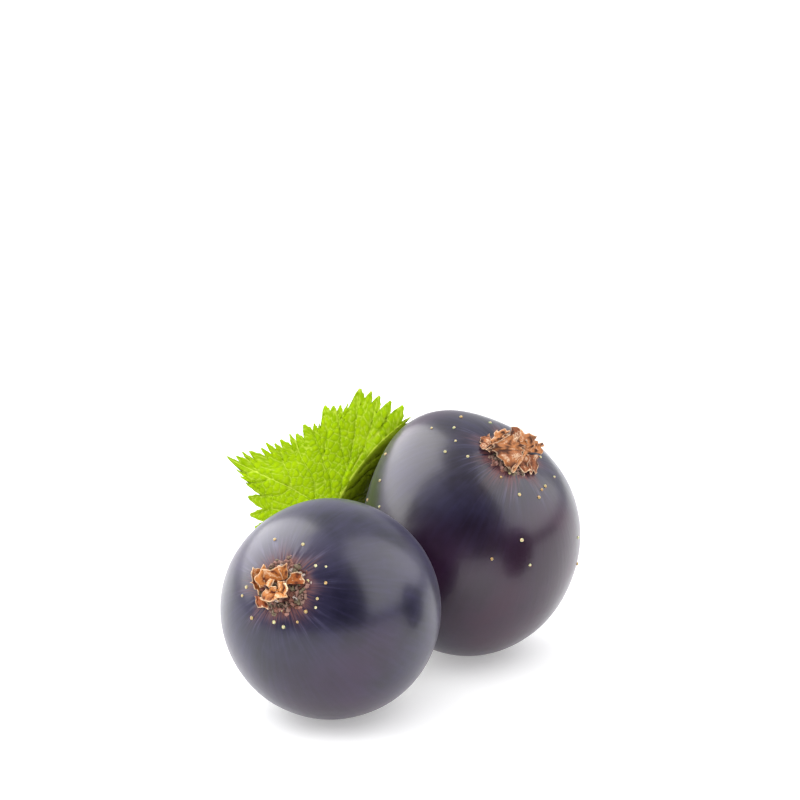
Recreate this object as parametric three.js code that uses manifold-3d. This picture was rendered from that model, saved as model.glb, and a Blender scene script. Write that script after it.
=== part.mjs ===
// Blackcurrant sprig: two ripe berries with their dried flower remains, on thin stalks that meet
// in one fruit stem, and one young leaf. Stem and leaf spring from the end of a short cut twig.
// Millimetres, +Z up. The sprig lies on the plane z = 0, on both berries and the twig.
import * as THREE from 'three';
import { mergeVertices } from 'three/addons/utils/BufferGeometryUtils.js';
import Module from 'manifold-3d';

const wasm = await Module();
wasm.setup();

// Driving dimensions
const FRONT_RADIUS = 6.0; // the smaller berry, almost a ball
const REST_FLAT = 0.08; // how much a berry flattens where it rests
const BERRY_SEGMENTS = 40;
const BERRY_RINGS = 24;
const GROWTH_GAP = 0.1; // clearance where one piece grows out of another
const LEAF_THICKNESS = 0.6;
const SEPAL_THICKNESS = 0.6;

const X = new THREE.Vector3(1, 0, 0);
const Y = new THREE.Vector3(0, 1, 0);
const Z = new THREE.Vector3(0, 0, 1);
const vector = (list) => new THREE.Vector3(...list);
const unit = (list) => vector(list).normalize();
const radians = THREE.MathUtils.degToRad;

// Berries. A berry is an ellipsoid with a shallow hollow at the flower end and one at the stalk,
// and with its own uneven swellings. Heights and depths are shares of the radius, spreads radians.
const FRONT_BERRY = {
  centre: [0, 0, FRONT_RADIUS - REST_FLAT],
  longAxis: [0, 0, 1],
  shortAxis: [1, 0, 0],
  radii: [FRONT_RADIUS, FRONT_RADIUS, FRONT_RADIUS],
  flowerEnd: [-0.427, -0.753, 0.501],
  stalkEnd: [0.44, 0.7, -0.56],
  swellings: [],
};
const BACK_BERRY = {
  centre: [7.92, 9.89, 6.845],
  longAxis: [0.245, 0.322, 0.914],
  shortAxis: [-0.969, 0.097, 0.225],
  radii: [7.045, 6.235, 6.31],
  flowerEnd: [0.335, -0.4, 0.853],
  stalkEnd: [-0.6, 0.47, -0.65],
  swellings: [
    { towards: [-0.524, 0.294, 0.799], height: 0.12, spread: 0.54 },
    { towards: [0.52, 0.279, 0.807], height: -0.12, spread: 1.02 },
  ],
};
const HOLLOWS = {
  flowerEnd: { depth: 0.045, spread: 0.3 },
  stalkEnd: { depth: 0.05, spread: 0.2 },
};

// Flower remains: a rough round scar that carries five withered sepals and the style's stump.
const SCAR = { radius: 1.55, crown: 0.2, root: 0.9, segments: 30, wrinkle: 0.07, wrinkles: 7 };
const SEPAL = { rootRadius: 0.75, rootDepth: 0.25, length: 1.6, width: 1.35, rows: 5, columns: 4 };
const WITHERING = { bearing: 12, length: 0.18, crease: 0.16, creaseSpread: 0.08, tip: 0.14, narrowing: 0.45 };
const SEPAL_ROOT_LEAN = 8;
const STYLE = { radius: 0.28, height: 0.95 };
// each sepal's curl in degrees, inwards if positive, and the calyx's shift across the scar
const FRONT_CALYX = { seed: 7, curls: [70, 62, -30, -42, 35], shift: [-0.16, 0.05] };
const BACK_CALYX = { seed: 23, curls: [-55, 30, 62, 74, -40], shift: [0.02, 0.09] };

// Leaf. The blade is drawn in its own plane, in polar form about the leaf base: an angle in
// degrees from the plane's right-hand side and a reach in millimetres.
const LEAF_BASE = [0.02, 12.2, 7.27];
const LEAF_LEAN = 20; // degrees the blade's plane leans back
const MIDRIB = { startAngle: 67, endAngle: 50, length: 7.3 };
const FOLD = { angle: 72, bend: 1.3 }; // the right half folds back round a soft ridge
const BLADE_RINGS = [0, 0.15, 0.3, 0.45, 0.6, 0.75, 0.88, 1];
// Tooth tips of the left half, from the middle lobe's tip to the lobe at the petiole:
// angle, reach, and the depth of the notch that follows.
const TEETH = [
  [50.6, 6.9, 0.3], [57.3, 7.2, 0.55], [63.2, 7.1, 0.5], [68.8, 7.11, 0.35],
  [72.9, 7.18, 0.3], [78.5, 7.17, 1.1], [82.6, 6.22, 0.4], [86.7, 6.04, 0.22], [90.5, 6.0, 0.15],
  [95.4, 6.03, 1.1], [98.4, 5.09, 0.2], [102.9, 5.1, 0.2], [109.8, 5.22, 0.5], [116.3, 4.91, 0.3],
  [120.3, 5.1, 0.45], [127.3, 5.1, 0.3], [131.4, 5.1, 0.2], [135, 5.5, 0.5], [139.2, 5.51, 0.3],
  [144.8, 5.94, 0.3], [147.3, 6.25, 0.3], [150.7, 6.42, 0.2], [153, 6.93, 1.0],
  [155.6, 6.09, 0.55], [158.3, 5.72, 0.65], [162.3, 5.27, 0.65], [170.8, 4.98, 0.6],
  [182.7, 4.81, 0.5], [192, 4.6, 0.4], [201.5, 4.25, 0.4], [211.5, 3.65, 0.35], [222, 2.8, 0.3],
];
const LOBE_TIP_ANGLE = 153; // teeth lean towards this side lobe's tip from both sides
const STEEPEST_STEP = 0.9; // most that a notch starts beyond the tooth after it
const LEAST_TURN = 0.9; // least degrees from one point of the margin to the next
const NOTCH_SHARE = { beforeLobeTip: 0.25, afterLobeTip: 0.62 };
const SINUS = { angle: 239, reach: 1.2 };
const BLADE_SMOOTHING = 9; // degrees over which the inner rings even out the teeth
const EVENED_SHARE = 0.96;
const EVENED_MOST = 1.12; // an inner ring is evened out to at most this share of the margin's reach
const TOOTH_ONSET = 6; // how sharply the teeth begin towards the margin
const NORMAL_STEP = { angle: 0.05, reach: 0.01 }; // degrees and millimetres
const BLADE_BOW = { rise: 0.018, wave: 0.1, waves: 6, waveReach: 6 };

// Stalks: points along each centre line, with the thickness at its two ends
const PETIOLE = {
  path: [[0.1, 12.45, 7.65], [-0.05, 12.8, 6.4], [-0.75, 14.0, 4.0], [-1.5, 15.6, 2.2], [-1.95, 17.1, 1.62]],
  radii: [0.36, 0.45],
};
const FRUIT_STEM = {
  path: [[-1.2, 17.2, 0.6], [-0.85, 15.6, 0.58], [-0.1, 14.0, 0.54], [0.9, 12.8, 0.47]],
  radii: [0.5, 0.46],
};
const FRONT_STALK = {
  path: [
    [0.9, 12.8, 0.47], [1.5, 10.6, 0.45], [2.35, 8.3, 0.5],
    [3.1, 6.3, 1.0], [3.3, 5.2, 1.95], [2.2, 3.5, 3.12],
  ],
  radii: [0.44, 0.36],
};
const BACK_STALK = {
  path: [[0.9, 12.8, 0.47], [1.7, 13.5, 0.56], [2.6, 13.85, 0.98], [3.35, 13.35, 1.75], [4.9, 12.0, 3.1]],
  radii: [0.44, 0.36],
};
const STALK_SIDES = 10;
const STALK_STEP = 0.75;
const GROUND_SIZE = 80; // wider than the sprig

// Twig: a short piece of last year's wood, cut square at its far end
const TWIG = { path: [[-1.5, 17.1, 1.06], [-2.1, 19.2, 1.04], [-2.5, 21.6, 1.0]], radii: [1.12, 1.08] };

// Seeded random numbers between -1 and 1
function randomNumbers(seed) {
  let state = seed * 7919 + 17;
  return () => {
    state = (state * 1103515245 + 12345) % 2147483648;
    return (state / 2147483648) * 2 - 1;
  };
}

// Solids from meshes, and back again
function toSolid(geometry) {
  const bare = new THREE.BufferGeometry().setAttribute('position', geometry.getAttribute('position'));
  if (geometry.index) bare.setIndex(geometry.index);
  const merged = mergeVertices(bare, 1e-4);
  const faces = [];
  for (let i = 0; i < merged.index.count; i += 3) {
    const [a, b, c] = merged.index.array.slice(i, i + 3);
    if (a !== b && b !== c && a !== c) faces.push(a, b, c);
  }
  return new wasm.Manifold(new wasm.Mesh({
    numProp: 3,
    vertProperties: new Float32Array(merged.attributes.position.array),
    triVerts: new Uint32Array(faces),
  }));
}

function toGeometry(solid) {
  const mesh = solid.getMesh();
  const positions = new Float32Array(mesh.numVert * 3);
  for (let i = 0; i < mesh.numVert; i++) {
    positions.set(mesh.vertProperties.subarray(i * mesh.numProp, i * mesh.numProp + 3), i * 3);
  }
  return new THREE.BufferGeometry()
    .setAttribute('position', new THREE.BufferAttribute(positions, 3))
    .setIndex(new THREE.BufferAttribute(mesh.triVerts, 1));
}

const joined = (solids) => solids.reduce((sum, solid) => sum.add(solid));

// The main body of a cut piece, without the loose scraps that a cut can leave
function mainBody(solid) {
  return solid.decompose().reduce((best, body) => (body.volume() > best.volume() ? body : best));
}

// A berry's surface: the point for a direction on the unit sphere, swollen by a length all round
function berrySurface(berry, direction, swell = 0) {
  const long = unit(berry.longAxis);
  const short = unit(berry.shortAxis);
  const third = long.clone().cross(short).normalize();
  let share = 1;
  for (const [end, hollow] of Object.entries(HOLLOWS)) {
    const angle = direction.angleTo(unit(berry[end]));
    share -= hollow.depth * Math.exp(-((angle / hollow.spread) ** 2));
  }
  for (const { towards, height, spread } of berry.swellings) {
    share += height * Math.exp(-((direction.angleTo(unit(towards)) / spread) ** 2));
  }
  const point = vector(berry.centre);
  [long, short, third].forEach((axis, i) => {
    point.addScaledVector(axis, (berry.radii[i] * share + swell) * direction.dot(axis));
  });
  return point;
}

function berrySolid(berry, swell = 0) {
  const geometry = new THREE.SphereGeometry(1, BERRY_SEGMENTS, BERRY_RINGS);
  geometry.applyQuaternion(new THREE.Quaternion().setFromUnitVectors(Y, unit(berry.flowerEnd)));
  const positions = geometry.getAttribute('position');
  const direction = new THREE.Vector3();
  for (let i = 0; i < positions.count; i++) {
    direction.fromBufferAttribute(positions, i).normalize();
    positions.setXYZ(i, ...berrySurface(berry, direction, swell));
  }
  return toSolid(geometry);
}

// A solid, flattened where it touches the plane it rests on
function resting(solid) {
  const ground = new THREE.BoxGeometry(GROUND_SIZE, GROUND_SIZE, GROUND_SIZE);
  ground.translate(0, 0, -GROUND_SIZE / 2);
  return solid.subtract(toSolid(ground));
}

// The triangles of a grid of points, as indices
function gridTriangles(rows, columns) {
  const triangles = [];
  const at = (row, column) => row * columns + column;
  for (let r = 0; r < rows - 1; r++) {
    for (let c = 0; c < columns - 1; c++) {
      triangles.push([at(r, c), at(r + 1, c), at(r + 1, c + 1)], [at(r, c), at(r + 1, c + 1), at(r, c + 1)]);
    }
  }
  return triangles;
}

// A normal at each point of a grid, the mean of the triangles round it
function gridNormals(grid) {
  const points = grid.flat();
  const normals = points.map(() => new THREE.Vector3());
  for (const [a, b, c] of gridTriangles(grid.length, grid[0].length)) {
    const face = points[b].clone().sub(points[a]).cross(points[c].clone().sub(points[a]));
    for (const corner of [a, b, c]) normals[corner].add(face);
  }
  return normals.map((normal) => normal.normalize());
}

// A thin curved blade: a grid of points on its middle surface, given the same thickness all over
// and closed round its rim. Both faces are split into triangles alike.
function bladeSolid(grid, thickness, normals = gridNormals(grid)) {
  const rows = grid.length;
  const columns = grid[0].length;
  const at = (row, column) => row * columns + column;
  const points = grid.flat();
  const positions = [];
  for (const side of [0.5, -0.5]) {
    points.forEach((point, i) => {
      positions.push(...point.clone().addScaledVector(normals[i], side * thickness));
    });
  }
  const rim = [];
  const [lastRow, lastColumn] = [rows - 1, columns - 1];
  for (let c = 0; c < lastColumn; c++) {
    rim.push([at(0, c + 1), at(0, c)], [at(lastRow, c), at(lastRow, c + 1)]);
  }
  for (let r = 0; r < lastRow; r++) {
    rim.push([at(r, 0), at(r + 1, 0)], [at(r + 1, lastColumn), at(r, lastColumn)]);
  }
  const under = points.length;
  const middle = gridTriangles(rows, columns);
  const faces = middle.flatMap(([a, b, c]) => [a, b, c, a + under, c + under, b + under]);
  for (const [a, b] of rim) faces.push(a, a + under, b + under, a, b + under, b);
  const geometry = new THREE.BufferGeometry();
  geometry.setAttribute('position', new THREE.Float32BufferAttribute(positions, 3));
  geometry.setIndex(faces);
  return toSolid(geometry);
}

// A round stalk along a smooth line, its radius easing from one end's to the other's
function stalkSolid({ path, radii }, swell = 0) {
  const curve = new THREE.CatmullRomCurve3(path.map(vector), false, 'centripetal');
  const steps = Math.ceil(curve.getLength() / STALK_STEP);
  const frames = curve.computeFrenetFrames(steps);
  const positions = [];
  const faces = [];
  for (let i = 0; i <= steps; i++) {
    const centre = curve.getPointAt(i / steps);
    const radius = THREE.MathUtils.lerp(radii[0], radii[1], i / steps) + swell;
    for (let k = 0; k < STALK_SIDES; k++) {
      const turn = (k / STALK_SIDES) * 2 * Math.PI;
      positions.push(...centre.clone()
        .addScaledVector(frames.normals[i], radius * Math.cos(turn))
        .addScaledVector(frames.binormals[i], radius * Math.sin(turn)));
    }
  }
  for (let i = 0; i < steps; i++) {
    for (let k = 0; k < STALK_SIDES; k++) {
      const next = (k + 1) % STALK_SIDES;
      const [near, far] = [i * STALK_SIDES, (i + 1) * STALK_SIDES];
      faces.push(near + k, near + next, far + next, near + k, far + next, far + k);
    }
  }
  const first = positions.length / 3;
  positions.push(...curve.getPointAt(0), ...curve.getPointAt(1));
  const last = steps * STALK_SIDES;
  for (let k = 0; k < STALK_SIDES; k++) {
    const next = (k + 1) % STALK_SIDES;
    faces.push(first, next, k, first + 1, last + k, last + next);
  }
  const geometry = new THREE.BufferGeometry();
  geometry.setAttribute('position', new THREE.Float32BufferAttribute(positions, 3));
  geometry.setIndex(faces);
  return toSolid(geometry);
}

// Flower remains, built standing on z = 0 and then set on the berry's flower end
function calyxSolid(berry, { seed, curls, shift }) {
  const random = randomNumbers(seed);
  const solids = [scarSolid()];
  const stump = new THREE.CylinderGeometry(STYLE.radius * 0.7, STYLE.radius, STYLE.height, 8);
  stump.rotateX(Math.PI / 2).translate(0, 0, STYLE.height / 2);
  solids.push(toSolid(stump));
  curls.forEach((curl, k) => {
    const bearing = (k / curls.length) * 360 + WITHERING.bearing * random();
    solids.push(sepalSolid(bearing, curl, random));
  });
  const foot = berrySurface(berry, unit(berry.flowerEnd));
  const outward = foot.clone().sub(vector(berry.centre)).normalize();
  const placed = toGeometry(joined(solids))
    .translate(...shift, 0)
    .applyQuaternion(new THREE.Quaternion().setFromUnitVectors(Z, outward))
    .translate(...foot);
  return mainBody(toSolid(placed).subtract(berrySolid(berry, GROWTH_GAP)));
}

// The scar: a low rough dome set into the berry, wrinkled towards its rim
function scarSolid() {
  const { radius, crown, root, segments, wrinkle, wrinkles } = SCAR;
  const profile = [
    [0, -root], [radius * 0.8, -root], [radius, -0.5 * crown], [radius * 0.9, 0.4 * crown],
    [radius * 0.65, 0.9 * crown], [radius * 0.35, crown], [0, 0.8 * crown],
  ];
  const scar = new THREE.LatheGeometry(profile.map(([r, z]) => new THREE.Vector2(r, z)), segments);
  scar.rotateX(Math.PI / 2);
  const positions = scar.getAttribute('position');
  for (let i = 0; i < positions.count; i++) {
    const [x, y, z] = [positions.getX(i), positions.getY(i), positions.getZ(i)];
    const reach = Math.hypot(x, y) / radius;
    const turn = wrinkles * Math.atan2(y, x);
    const wave = Math.sin(turn) + 0.6 * Math.sin(2 * turn + 4 * reach);
    const growth = 1 + 0.6 * wrinkle * wave;
    if (reach > 0.1 && z > -root) positions.setXYZ(i, x * growth, y * growth, z + wrinkle * wave * reach);
  }
  return toSolid(scar);
}

// One withered sepal: it rises from the scar at a bearing, curls inwards or outwards, and is
// creased lengthwise.
function sepalSolid(bearing, curl, random) {
  const { rootRadius, rootDepth, length, width, rows, columns } = SEPAL;
  const reach = length * (1 + WITHERING.length * random());
  const crease = WITHERING.crease + WITHERING.creaseSpread * random();
  const grid = [];
  let [outward, rise] = [rootRadius, -rootDepth];
  for (let r = 0; r <= rows; r++) {
    const along = r / rows;
    const slope = radians(SEPAL_ROOT_LEAN + curl * along);
    const row = [];
    for (let c = 0; c <= columns; c++) {
      const across = (c / columns) * 2 - 1;
      const halfWidth = (width / 2) * (1 - WITHERING.narrowing * along ** 2);
      const bulge = crease * Math.cos(across * Math.PI) * (0.4 + along);
      const point = new THREE.Vector3(
        outward + bulge * Math.cos(slope),
        across * halfWidth,
        rise + bulge * Math.sin(slope) + (r === rows ? WITHERING.tip * random() : 0),
      );
      row.push(point.applyAxisAngle(Z, radians(bearing)));
    }
    grid.push(row);
    outward -= (reach / rows) * Math.sin(slope);
    rise += (reach / rows) * Math.cos(slope);
  }
  return bladeSolid(grid, SEPAL_THICKNESS);
}

// The midrib's angle at a distance from the leaf base: it bends a little to the right
function midribAngle(reach) {
  return THREE.MathUtils.lerp(MIDRIB.startAngle, MIDRIB.endAngle, reach / MIDRIB.length);
}

// The left half's margin, tip by tip and notch by notch, as angles from the midrib and reaches.
// Every point lies further round than the one before it, so that no tooth folds under another.
function marginOfHalf() {
  const margin = [];
  TEETH.forEach(([angle, reach, depth], i) => {
    const next = i + 1 < TEETH.length ? TEETH[i + 1] : [SINUS.angle, SINUS.reach];
    const share = angle < LOBE_TIP_ANGLE ? NOTCH_SHARE.beforeLobeTip : NOTCH_SHARE.afterLobeTip;
    const notchAngle = THREE.MathUtils.lerp(angle, next[0], share);
    margin.push([angle, reach], [notchAngle, Math.min(reach, next[1] + STEEPEST_STEP) - depth]);
  });
  margin.push([SINUS.angle, SINUS.reach]);
  margin[0][0] = midribAngle(margin[0][1]);
  let last = -LEAST_TURN;
  return margin.map(([angle, reach]) => {
    last = Math.max(angle - midribAngle(reach), last + LEAST_TURN);
    return [last, reach];
  });
}

// A point of the blade's middle surface, for an angle from the midrib and a distance from the base
function bladePoint(angle, reach) {
  const rib = radians(midribAngle(reach));
  const along = new THREE.Vector2(Math.cos(rib), Math.sin(rib));
  const right = new THREE.Vector2(Math.sin(rib), -Math.cos(rib));
  const aside = -reach * Math.sin(radians(angle));
  let [sideways, back] = [aside, 0];
  if (aside > 0) {
    const full = radians(FOLD.angle);
    const bendRadius = FOLD.bend / full;
    const turned = Math.min(aside, FOLD.bend) / bendRadius;
    const rest = Math.max(0, aside - FOLD.bend);
    sideways = bendRadius * Math.sin(turned) + rest * Math.cos(full);
    back = bendRadius * (1 - Math.cos(turned)) + rest * Math.sin(full);
  }
  const flat = along.multiplyScalar(reach * Math.cos(radians(angle))).add(right.multiplyScalar(sideways));
  const { rise, wave, waves, waveReach } = BLADE_BOW;
  const bow = rise * reach ** 2 + wave * Math.sin(radians(angle) * waves) * (reach / waveReach) ** 2;
  const lean = radians(LEAF_LEAN);
  const up = new THREE.Vector3(0, Math.sin(lean), Math.cos(lean));
  const away = new THREE.Vector3(0, Math.cos(lean), -Math.sin(lean));
  return vector(LEAF_BASE)
    .addScaledVector(X, flat.x)
    .addScaledVector(up, flat.y)
    .addScaledVector(away, back + bow);
}

// The blade's normal at the same place, from two short steps along its middle surface
function bladeNormal(angle, reach) {
  const from = Math.max(reach, NORMAL_STEP.reach);
  const round = bladePoint(angle + NORMAL_STEP.angle, from).sub(bladePoint(angle - NORMAL_STEP.angle, from));
  const outward = bladePoint(angle, from + NORMAL_STEP.reach).sub(bladePoint(angle, from - NORMAL_STEP.reach));
  return outward.cross(round).normalize();
}

function leafSolid() {
  const half = marginOfHalf();
  const mirrored = half.slice(1).map(([angle, reach]) => [-angle, reach]);
  const margin = [...mirrored.reverse(), ...half];
  const evened = margin.map(([angle]) => {
    const near = margin.filter(([other]) => Math.abs(other - angle) < BLADE_SMOOTHING);
    return near.reduce((sum, [, reach]) => sum + reach, 0) / near.length;
  });
  const places = BLADE_RINGS.map((ring) => margin.map(([angle, reach], i) => {
    const inner = Math.min(evened[i] * EVENED_SHARE, reach * EVENED_MOST);
    return [angle, ring * THREE.MathUtils.lerp(inner, reach, ring ** TOOTH_ONSET)];
  }));
  const grid = places.map((row) => row.map(([angle, reach]) => bladePoint(angle, reach)));
  const normals = places.flat().map(([angle, reach]) => bladeNormal(reach > 0 ? angle : 0, reach));
  return bladeSolid(grid, LEAF_THICKNESS, normals);
}

// The pieces
const berries = { berry_front: FRONT_BERRY, berry_back: BACK_BERRY };
const calyces = { calyx_front: [FRONT_BERRY, FRONT_CALYX], calyx_back: [BACK_BERRY, BACK_CALYX] };
const swollenTwig = stalkSolid(TWIG, GROWTH_GAP);
const fruitStem = mainBody(
  joined([stalkSolid(FRUIT_STEM), stalkSolid(FRONT_STALK), stalkSolid(BACK_STALK)])
    .subtract(berrySolid(FRONT_BERRY, GROWTH_GAP))
    .subtract(berrySolid(BACK_BERRY, GROWTH_GAP))
    .subtract(swollenTwig),
);
const leaf = mainBody(leafSolid().add(stalkSolid(PETIOLE)).subtract(swollenTwig));

const skin = new THREE.MeshStandardMaterial({ color: 0x24222f, roughness: 0.35, metalness: 0 });
const driedFlower = new THREE.MeshStandardMaterial({ color: 0x9c6238, roughness: 0.85, metalness: 0 });
const leafGreen = new THREE.MeshStandardMaterial({ color: 0x8cc51c, roughness: 0.55, metalness: 0 });
const stalkGreen = new THREE.MeshStandardMaterial({ color: 0x7d9a3c, roughness: 0.6, metalness: 0 });
const bark = new THREE.MeshStandardMaterial({ color: 0x7a6650, roughness: 0.9, metalness: 0 });

const sprig = new THREE.Group();
function addPiece(name, solid, material) {
  const mesh = new THREE.Mesh(toGeometry(solid), material);
  mesh.name = name;
  sprig.add(mesh);
}

for (const [name, berry] of Object.entries(berries)) addPiece(name, resting(berrySolid(berry)), skin);
for (const [name, [berry, calyx]] of Object.entries(calyces)) {
  addPiece(name, calyxSolid(berry, calyx), driedFlower);
}
addPiece('fruit_stem', resting(fruitStem), stalkGreen);
addPiece('leaf', leaf, leafGreen);
addPiece('twig', resting(stalkSolid(TWIG)), bark);

// The origin is the middle of the sprig's footprint, on the plane it rests on
const extent = new THREE.Box3().setFromObject(sprig);
const middle = extent.getCenter(new THREE.Vector3());
sprig.position.set(-middle.x, -middle.y, -extent.min.z);

export default sprig;
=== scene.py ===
"""Blackcurrant sprig: two ripe berries with withered flowers, stalks, a young leaf and a cut twig.

Shapes are worked out in millimetres, in a drawing frame whose origin is under the smaller berry's
middle, and are moved into the row frame, in metres, when each mesh is written.
"""
import logging
import math
from dataclasses import dataclass, field
from enum import Enum
from typing import Any, Sequence

import bpy
import numpy as np
from mathutils import Matrix, Vector


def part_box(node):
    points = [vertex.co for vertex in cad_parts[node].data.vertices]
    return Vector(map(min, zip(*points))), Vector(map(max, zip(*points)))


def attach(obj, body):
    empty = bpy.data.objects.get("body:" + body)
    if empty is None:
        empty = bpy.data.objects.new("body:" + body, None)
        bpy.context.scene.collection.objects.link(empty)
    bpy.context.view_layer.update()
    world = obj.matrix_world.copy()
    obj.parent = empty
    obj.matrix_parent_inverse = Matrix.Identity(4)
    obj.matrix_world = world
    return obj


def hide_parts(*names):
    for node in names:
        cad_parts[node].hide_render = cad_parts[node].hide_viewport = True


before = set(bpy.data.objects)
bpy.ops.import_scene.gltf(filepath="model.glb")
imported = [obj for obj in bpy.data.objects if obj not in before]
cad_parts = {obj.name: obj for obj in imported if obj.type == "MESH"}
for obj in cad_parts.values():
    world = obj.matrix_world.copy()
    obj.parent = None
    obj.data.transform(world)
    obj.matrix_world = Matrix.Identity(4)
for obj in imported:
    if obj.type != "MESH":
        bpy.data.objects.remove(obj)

LOG = logging.getLogger("blackcurrant_sprig")
MM = 0.001
CELL_JITTER = 0.42
CELL_BATCH = 4000
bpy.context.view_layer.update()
LOW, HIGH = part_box("berry_front")
SHIFT = np.array([(LOW.x + HIGH.x) / 2, (LOW.y + HIGH.y) / 2, 0.0])

Array = np.ndarray


# Shader maths


class Value:
    """A number, colour or vector that varies over a surface: a node's output with arithmetic."""

    def __init__(self, shader: "Shader", socket: bpy.types.NodeSocket) -> None:
        """Keep the socket and the shader that it belongs to."""
        self.shader = shader
        self.socket = socket

    def _maths(self, operation: str, first: Any, second: Any = None) -> "Value":
        """Add one Math node."""
        inputs = {0: first} if second is None else {0: first, 1: second}
        return self.shader.node("ShaderNodeMath", {"operation": operation}, inputs)

    def __add__(self, other: Any) -> "Value":
        """Return the sum."""
        return self._maths("ADD", self, other)

    def __radd__(self, other: Any) -> "Value":
        """Return the sum, this value second."""
        return self._maths("ADD", other, self)

    def __sub__(self, other: Any) -> "Value":
        """Return the difference."""
        return self._maths("SUBTRACT", self, other)

    def __rsub__(self, other: Any) -> "Value":
        """Return the difference, this value second."""
        return self._maths("SUBTRACT", other, self)

    def __mul__(self, other: Any) -> "Value":
        """Return the product."""
        return self._maths("MULTIPLY", self, other)

    def __rmul__(self, other: Any) -> "Value":
        """Return the product, this value second."""
        return self._maths("MULTIPLY", other, self)

    def smooth(self, low: float, high: float) -> "Value":
        """Ease from 0 to 1 between two levels."""
        settings = {"interpolation_type": "SMOOTHSTEP"}
        return self.shader.node("ShaderNodeMapRange", settings, {0: self, 1: low, 2: high})


class Shader:
    """One material's nodes, laid out by expressions."""

    def __init__(self, name: str) -> None:
        """Start an empty material.

        Args:
            name: the material's name.
        """
        self.material = bpy.data.materials.new(name)
        self.material.use_nodes = True
        self.tree = self.material.node_tree
        self.tree.nodes.clear()

    def node(self, kind: str, settings: dict | None = None, inputs: dict | None = None,
             output: int | str = 0) -> Value:
        """Add any node.

        Args:
            kind: the node's type.
            settings: its own settings, with a colour ramp's stops under "stops".
            inputs: values or links, by socket name or number.
            output: the output socket to return.

        Returns:
            The chosen output.
        """
        made = self.tree.nodes.new(kind)
        for key, value in (settings or {}).items():
            if key == "stops":
                self._set_stops(made, value)
            else:
                setattr(made, key, value)
        for key, value in (inputs or {}).items():
            if isinstance(value, Value):
                self.tree.links.new(value.socket, made.inputs[key])
            else:
                made.inputs[key].default_value = value
        return Value(self, made.outputs[output])

    @staticmethod
    def _set_stops(ramp: bpy.types.Node, stops: Sequence[tuple]) -> None:
        """Give a colour ramp its stops.

        Args:
            ramp: the ramp node.
            stops: pairs of a place from 0 to 1 and a colour.
        """
        elements = ramp.color_ramp.elements
        while len(elements) < len(stops):
            elements.new(1.0)
        for element, (place, colour) in zip(elements, stops):
            element.position = place
            element.color = (*colour, 1.0)

    def coordinates(self) -> Value:
        """Return the Object coordinates, in metres."""
        return self.node("ShaderNodeTexCoord", output="Object")

    def attribute(self, name: str) -> Value:
        """Return a point attribute's number."""
        return self.node("ShaderNodeAttribute", {"attribute_name": name}, output="Fac")

    def noise(self, size_mm: float, detail: float = 3.0, roughness: float = 0.5) -> Value:
        """Return soft noise from 0 to 1.

        Args:
            size_mm: the size of its blotches in millimetres.
            detail: how many finer layers it has.
            roughness: how strong those layers are.

        Returns:
            The noise's value.
        """
        inputs = {"Vector": self.coordinates(), "Scale": 1.0 / (size_mm * MM), "Detail": detail,
                  "Roughness": roughness}
        return self.node("ShaderNodeTexNoise", None, inputs)

    def streaks(self, size_mm: float, detail: float = 2.0) -> Value:
        """Return noise drawn out into lines that run away from a berry's scar.

        Args:
            size_mm: the distance between the lines in millimetres.
            detail: how many finer layers it has.

        Returns:
            The noise's value.
        """
        parts = {k: self.attribute("streak_" + axis) for k, axis in enumerate("xyz")}
        inputs = {"Vector": self.node("ShaderNodeCombineXYZ", None, parts), "Scale": 1.0 / size_mm,
                  "Detail": detail}
        return self.node("ShaderNodeTexNoise", None, inputs)

    def mix(self, share: Any, first: Any, second: Any) -> Value:
        """Mix two colours.

        Args:
            share: how much of the second colour, from 0 to 1.
            first: a colour or a value.
            second: a colour or a value.

        Returns:
            The mixed colour.
        """
        pair = [(*c, 1.0) if isinstance(c, tuple) else c for c in (first, second)]
        settings = {"data_type": "RGBA", "clamp_factor": True}
        return self.node("ShaderNodeMix", settings, {0: share, 6: pair[0], 7: pair[1]}, 2)

    def bump(self, height: Value, distance_mm: float, strength: float = 1.0) -> Value:
        """Turn a height into a bent normal."""
        inputs = {"Height": height, "Distance": distance_mm * MM, "Strength": strength}
        return self.node("ShaderNodeBump", None, inputs)

    def surface(self, **inputs: Any) -> bpy.types.Material:
        """Finish the material with one Principled shader.

        Args:
            **inputs: its sockets, with _ for each space.

        Returns:
            The material.
        """
        named = {}
        for key, value in inputs.items():
            named[key.replace("_", " ")] = (*value, 1.0) if self._is_colour(value) else value
        body = self.node("ShaderNodeBsdfPrincipled", None, named)
        end = self.tree.nodes.new("ShaderNodeOutputMaterial")
        self.tree.links.new(body.socket, end.inputs["Surface"])
        return self.material

    @staticmethod
    def _is_colour(value: Any) -> bool:
        """Return whether a plain value is a colour of three numbers."""
        return isinstance(value, tuple) and len(value) == 3


# Numbers on arrays


def unit(vectors: Any) -> Array:
    """Return vectors scaled to length 1."""
    array = np.asarray(vectors, float)
    return array / np.linalg.norm(array, axis=-1, keepdims=True)


def ripples(points: Array, size: float, seed: int, waves: int = 14) -> Array:
    """Return smooth noise between about -1 and 1.

    It is the sum of sine waves, each along its own random direction and about size long, brought
    back to one wave's strength and lowered a little.

    Args:
        points: places, in the last axis.
        size: the length of a wave, in the points' own unit.
        seed: the random seed.
        waves: how many waves are summed.

    Returns:
        One value for each place.
    """
    random = np.random.default_rng(seed)
    directions = unit(random.normal(size=(waves, points.shape[-1])))
    directions *= (2 * np.pi / size) * random.uniform(0.7, 1.5, (waves, 1))
    phases = random.uniform(0, 2 * np.pi, waves)
    total = np.zeros(points.shape[:-1])
    for direction, phase in zip(directions, phases):
        total += np.sin(points @ direction + phase)
    return total * math.sqrt(2 / waves) * 0.6


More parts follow.
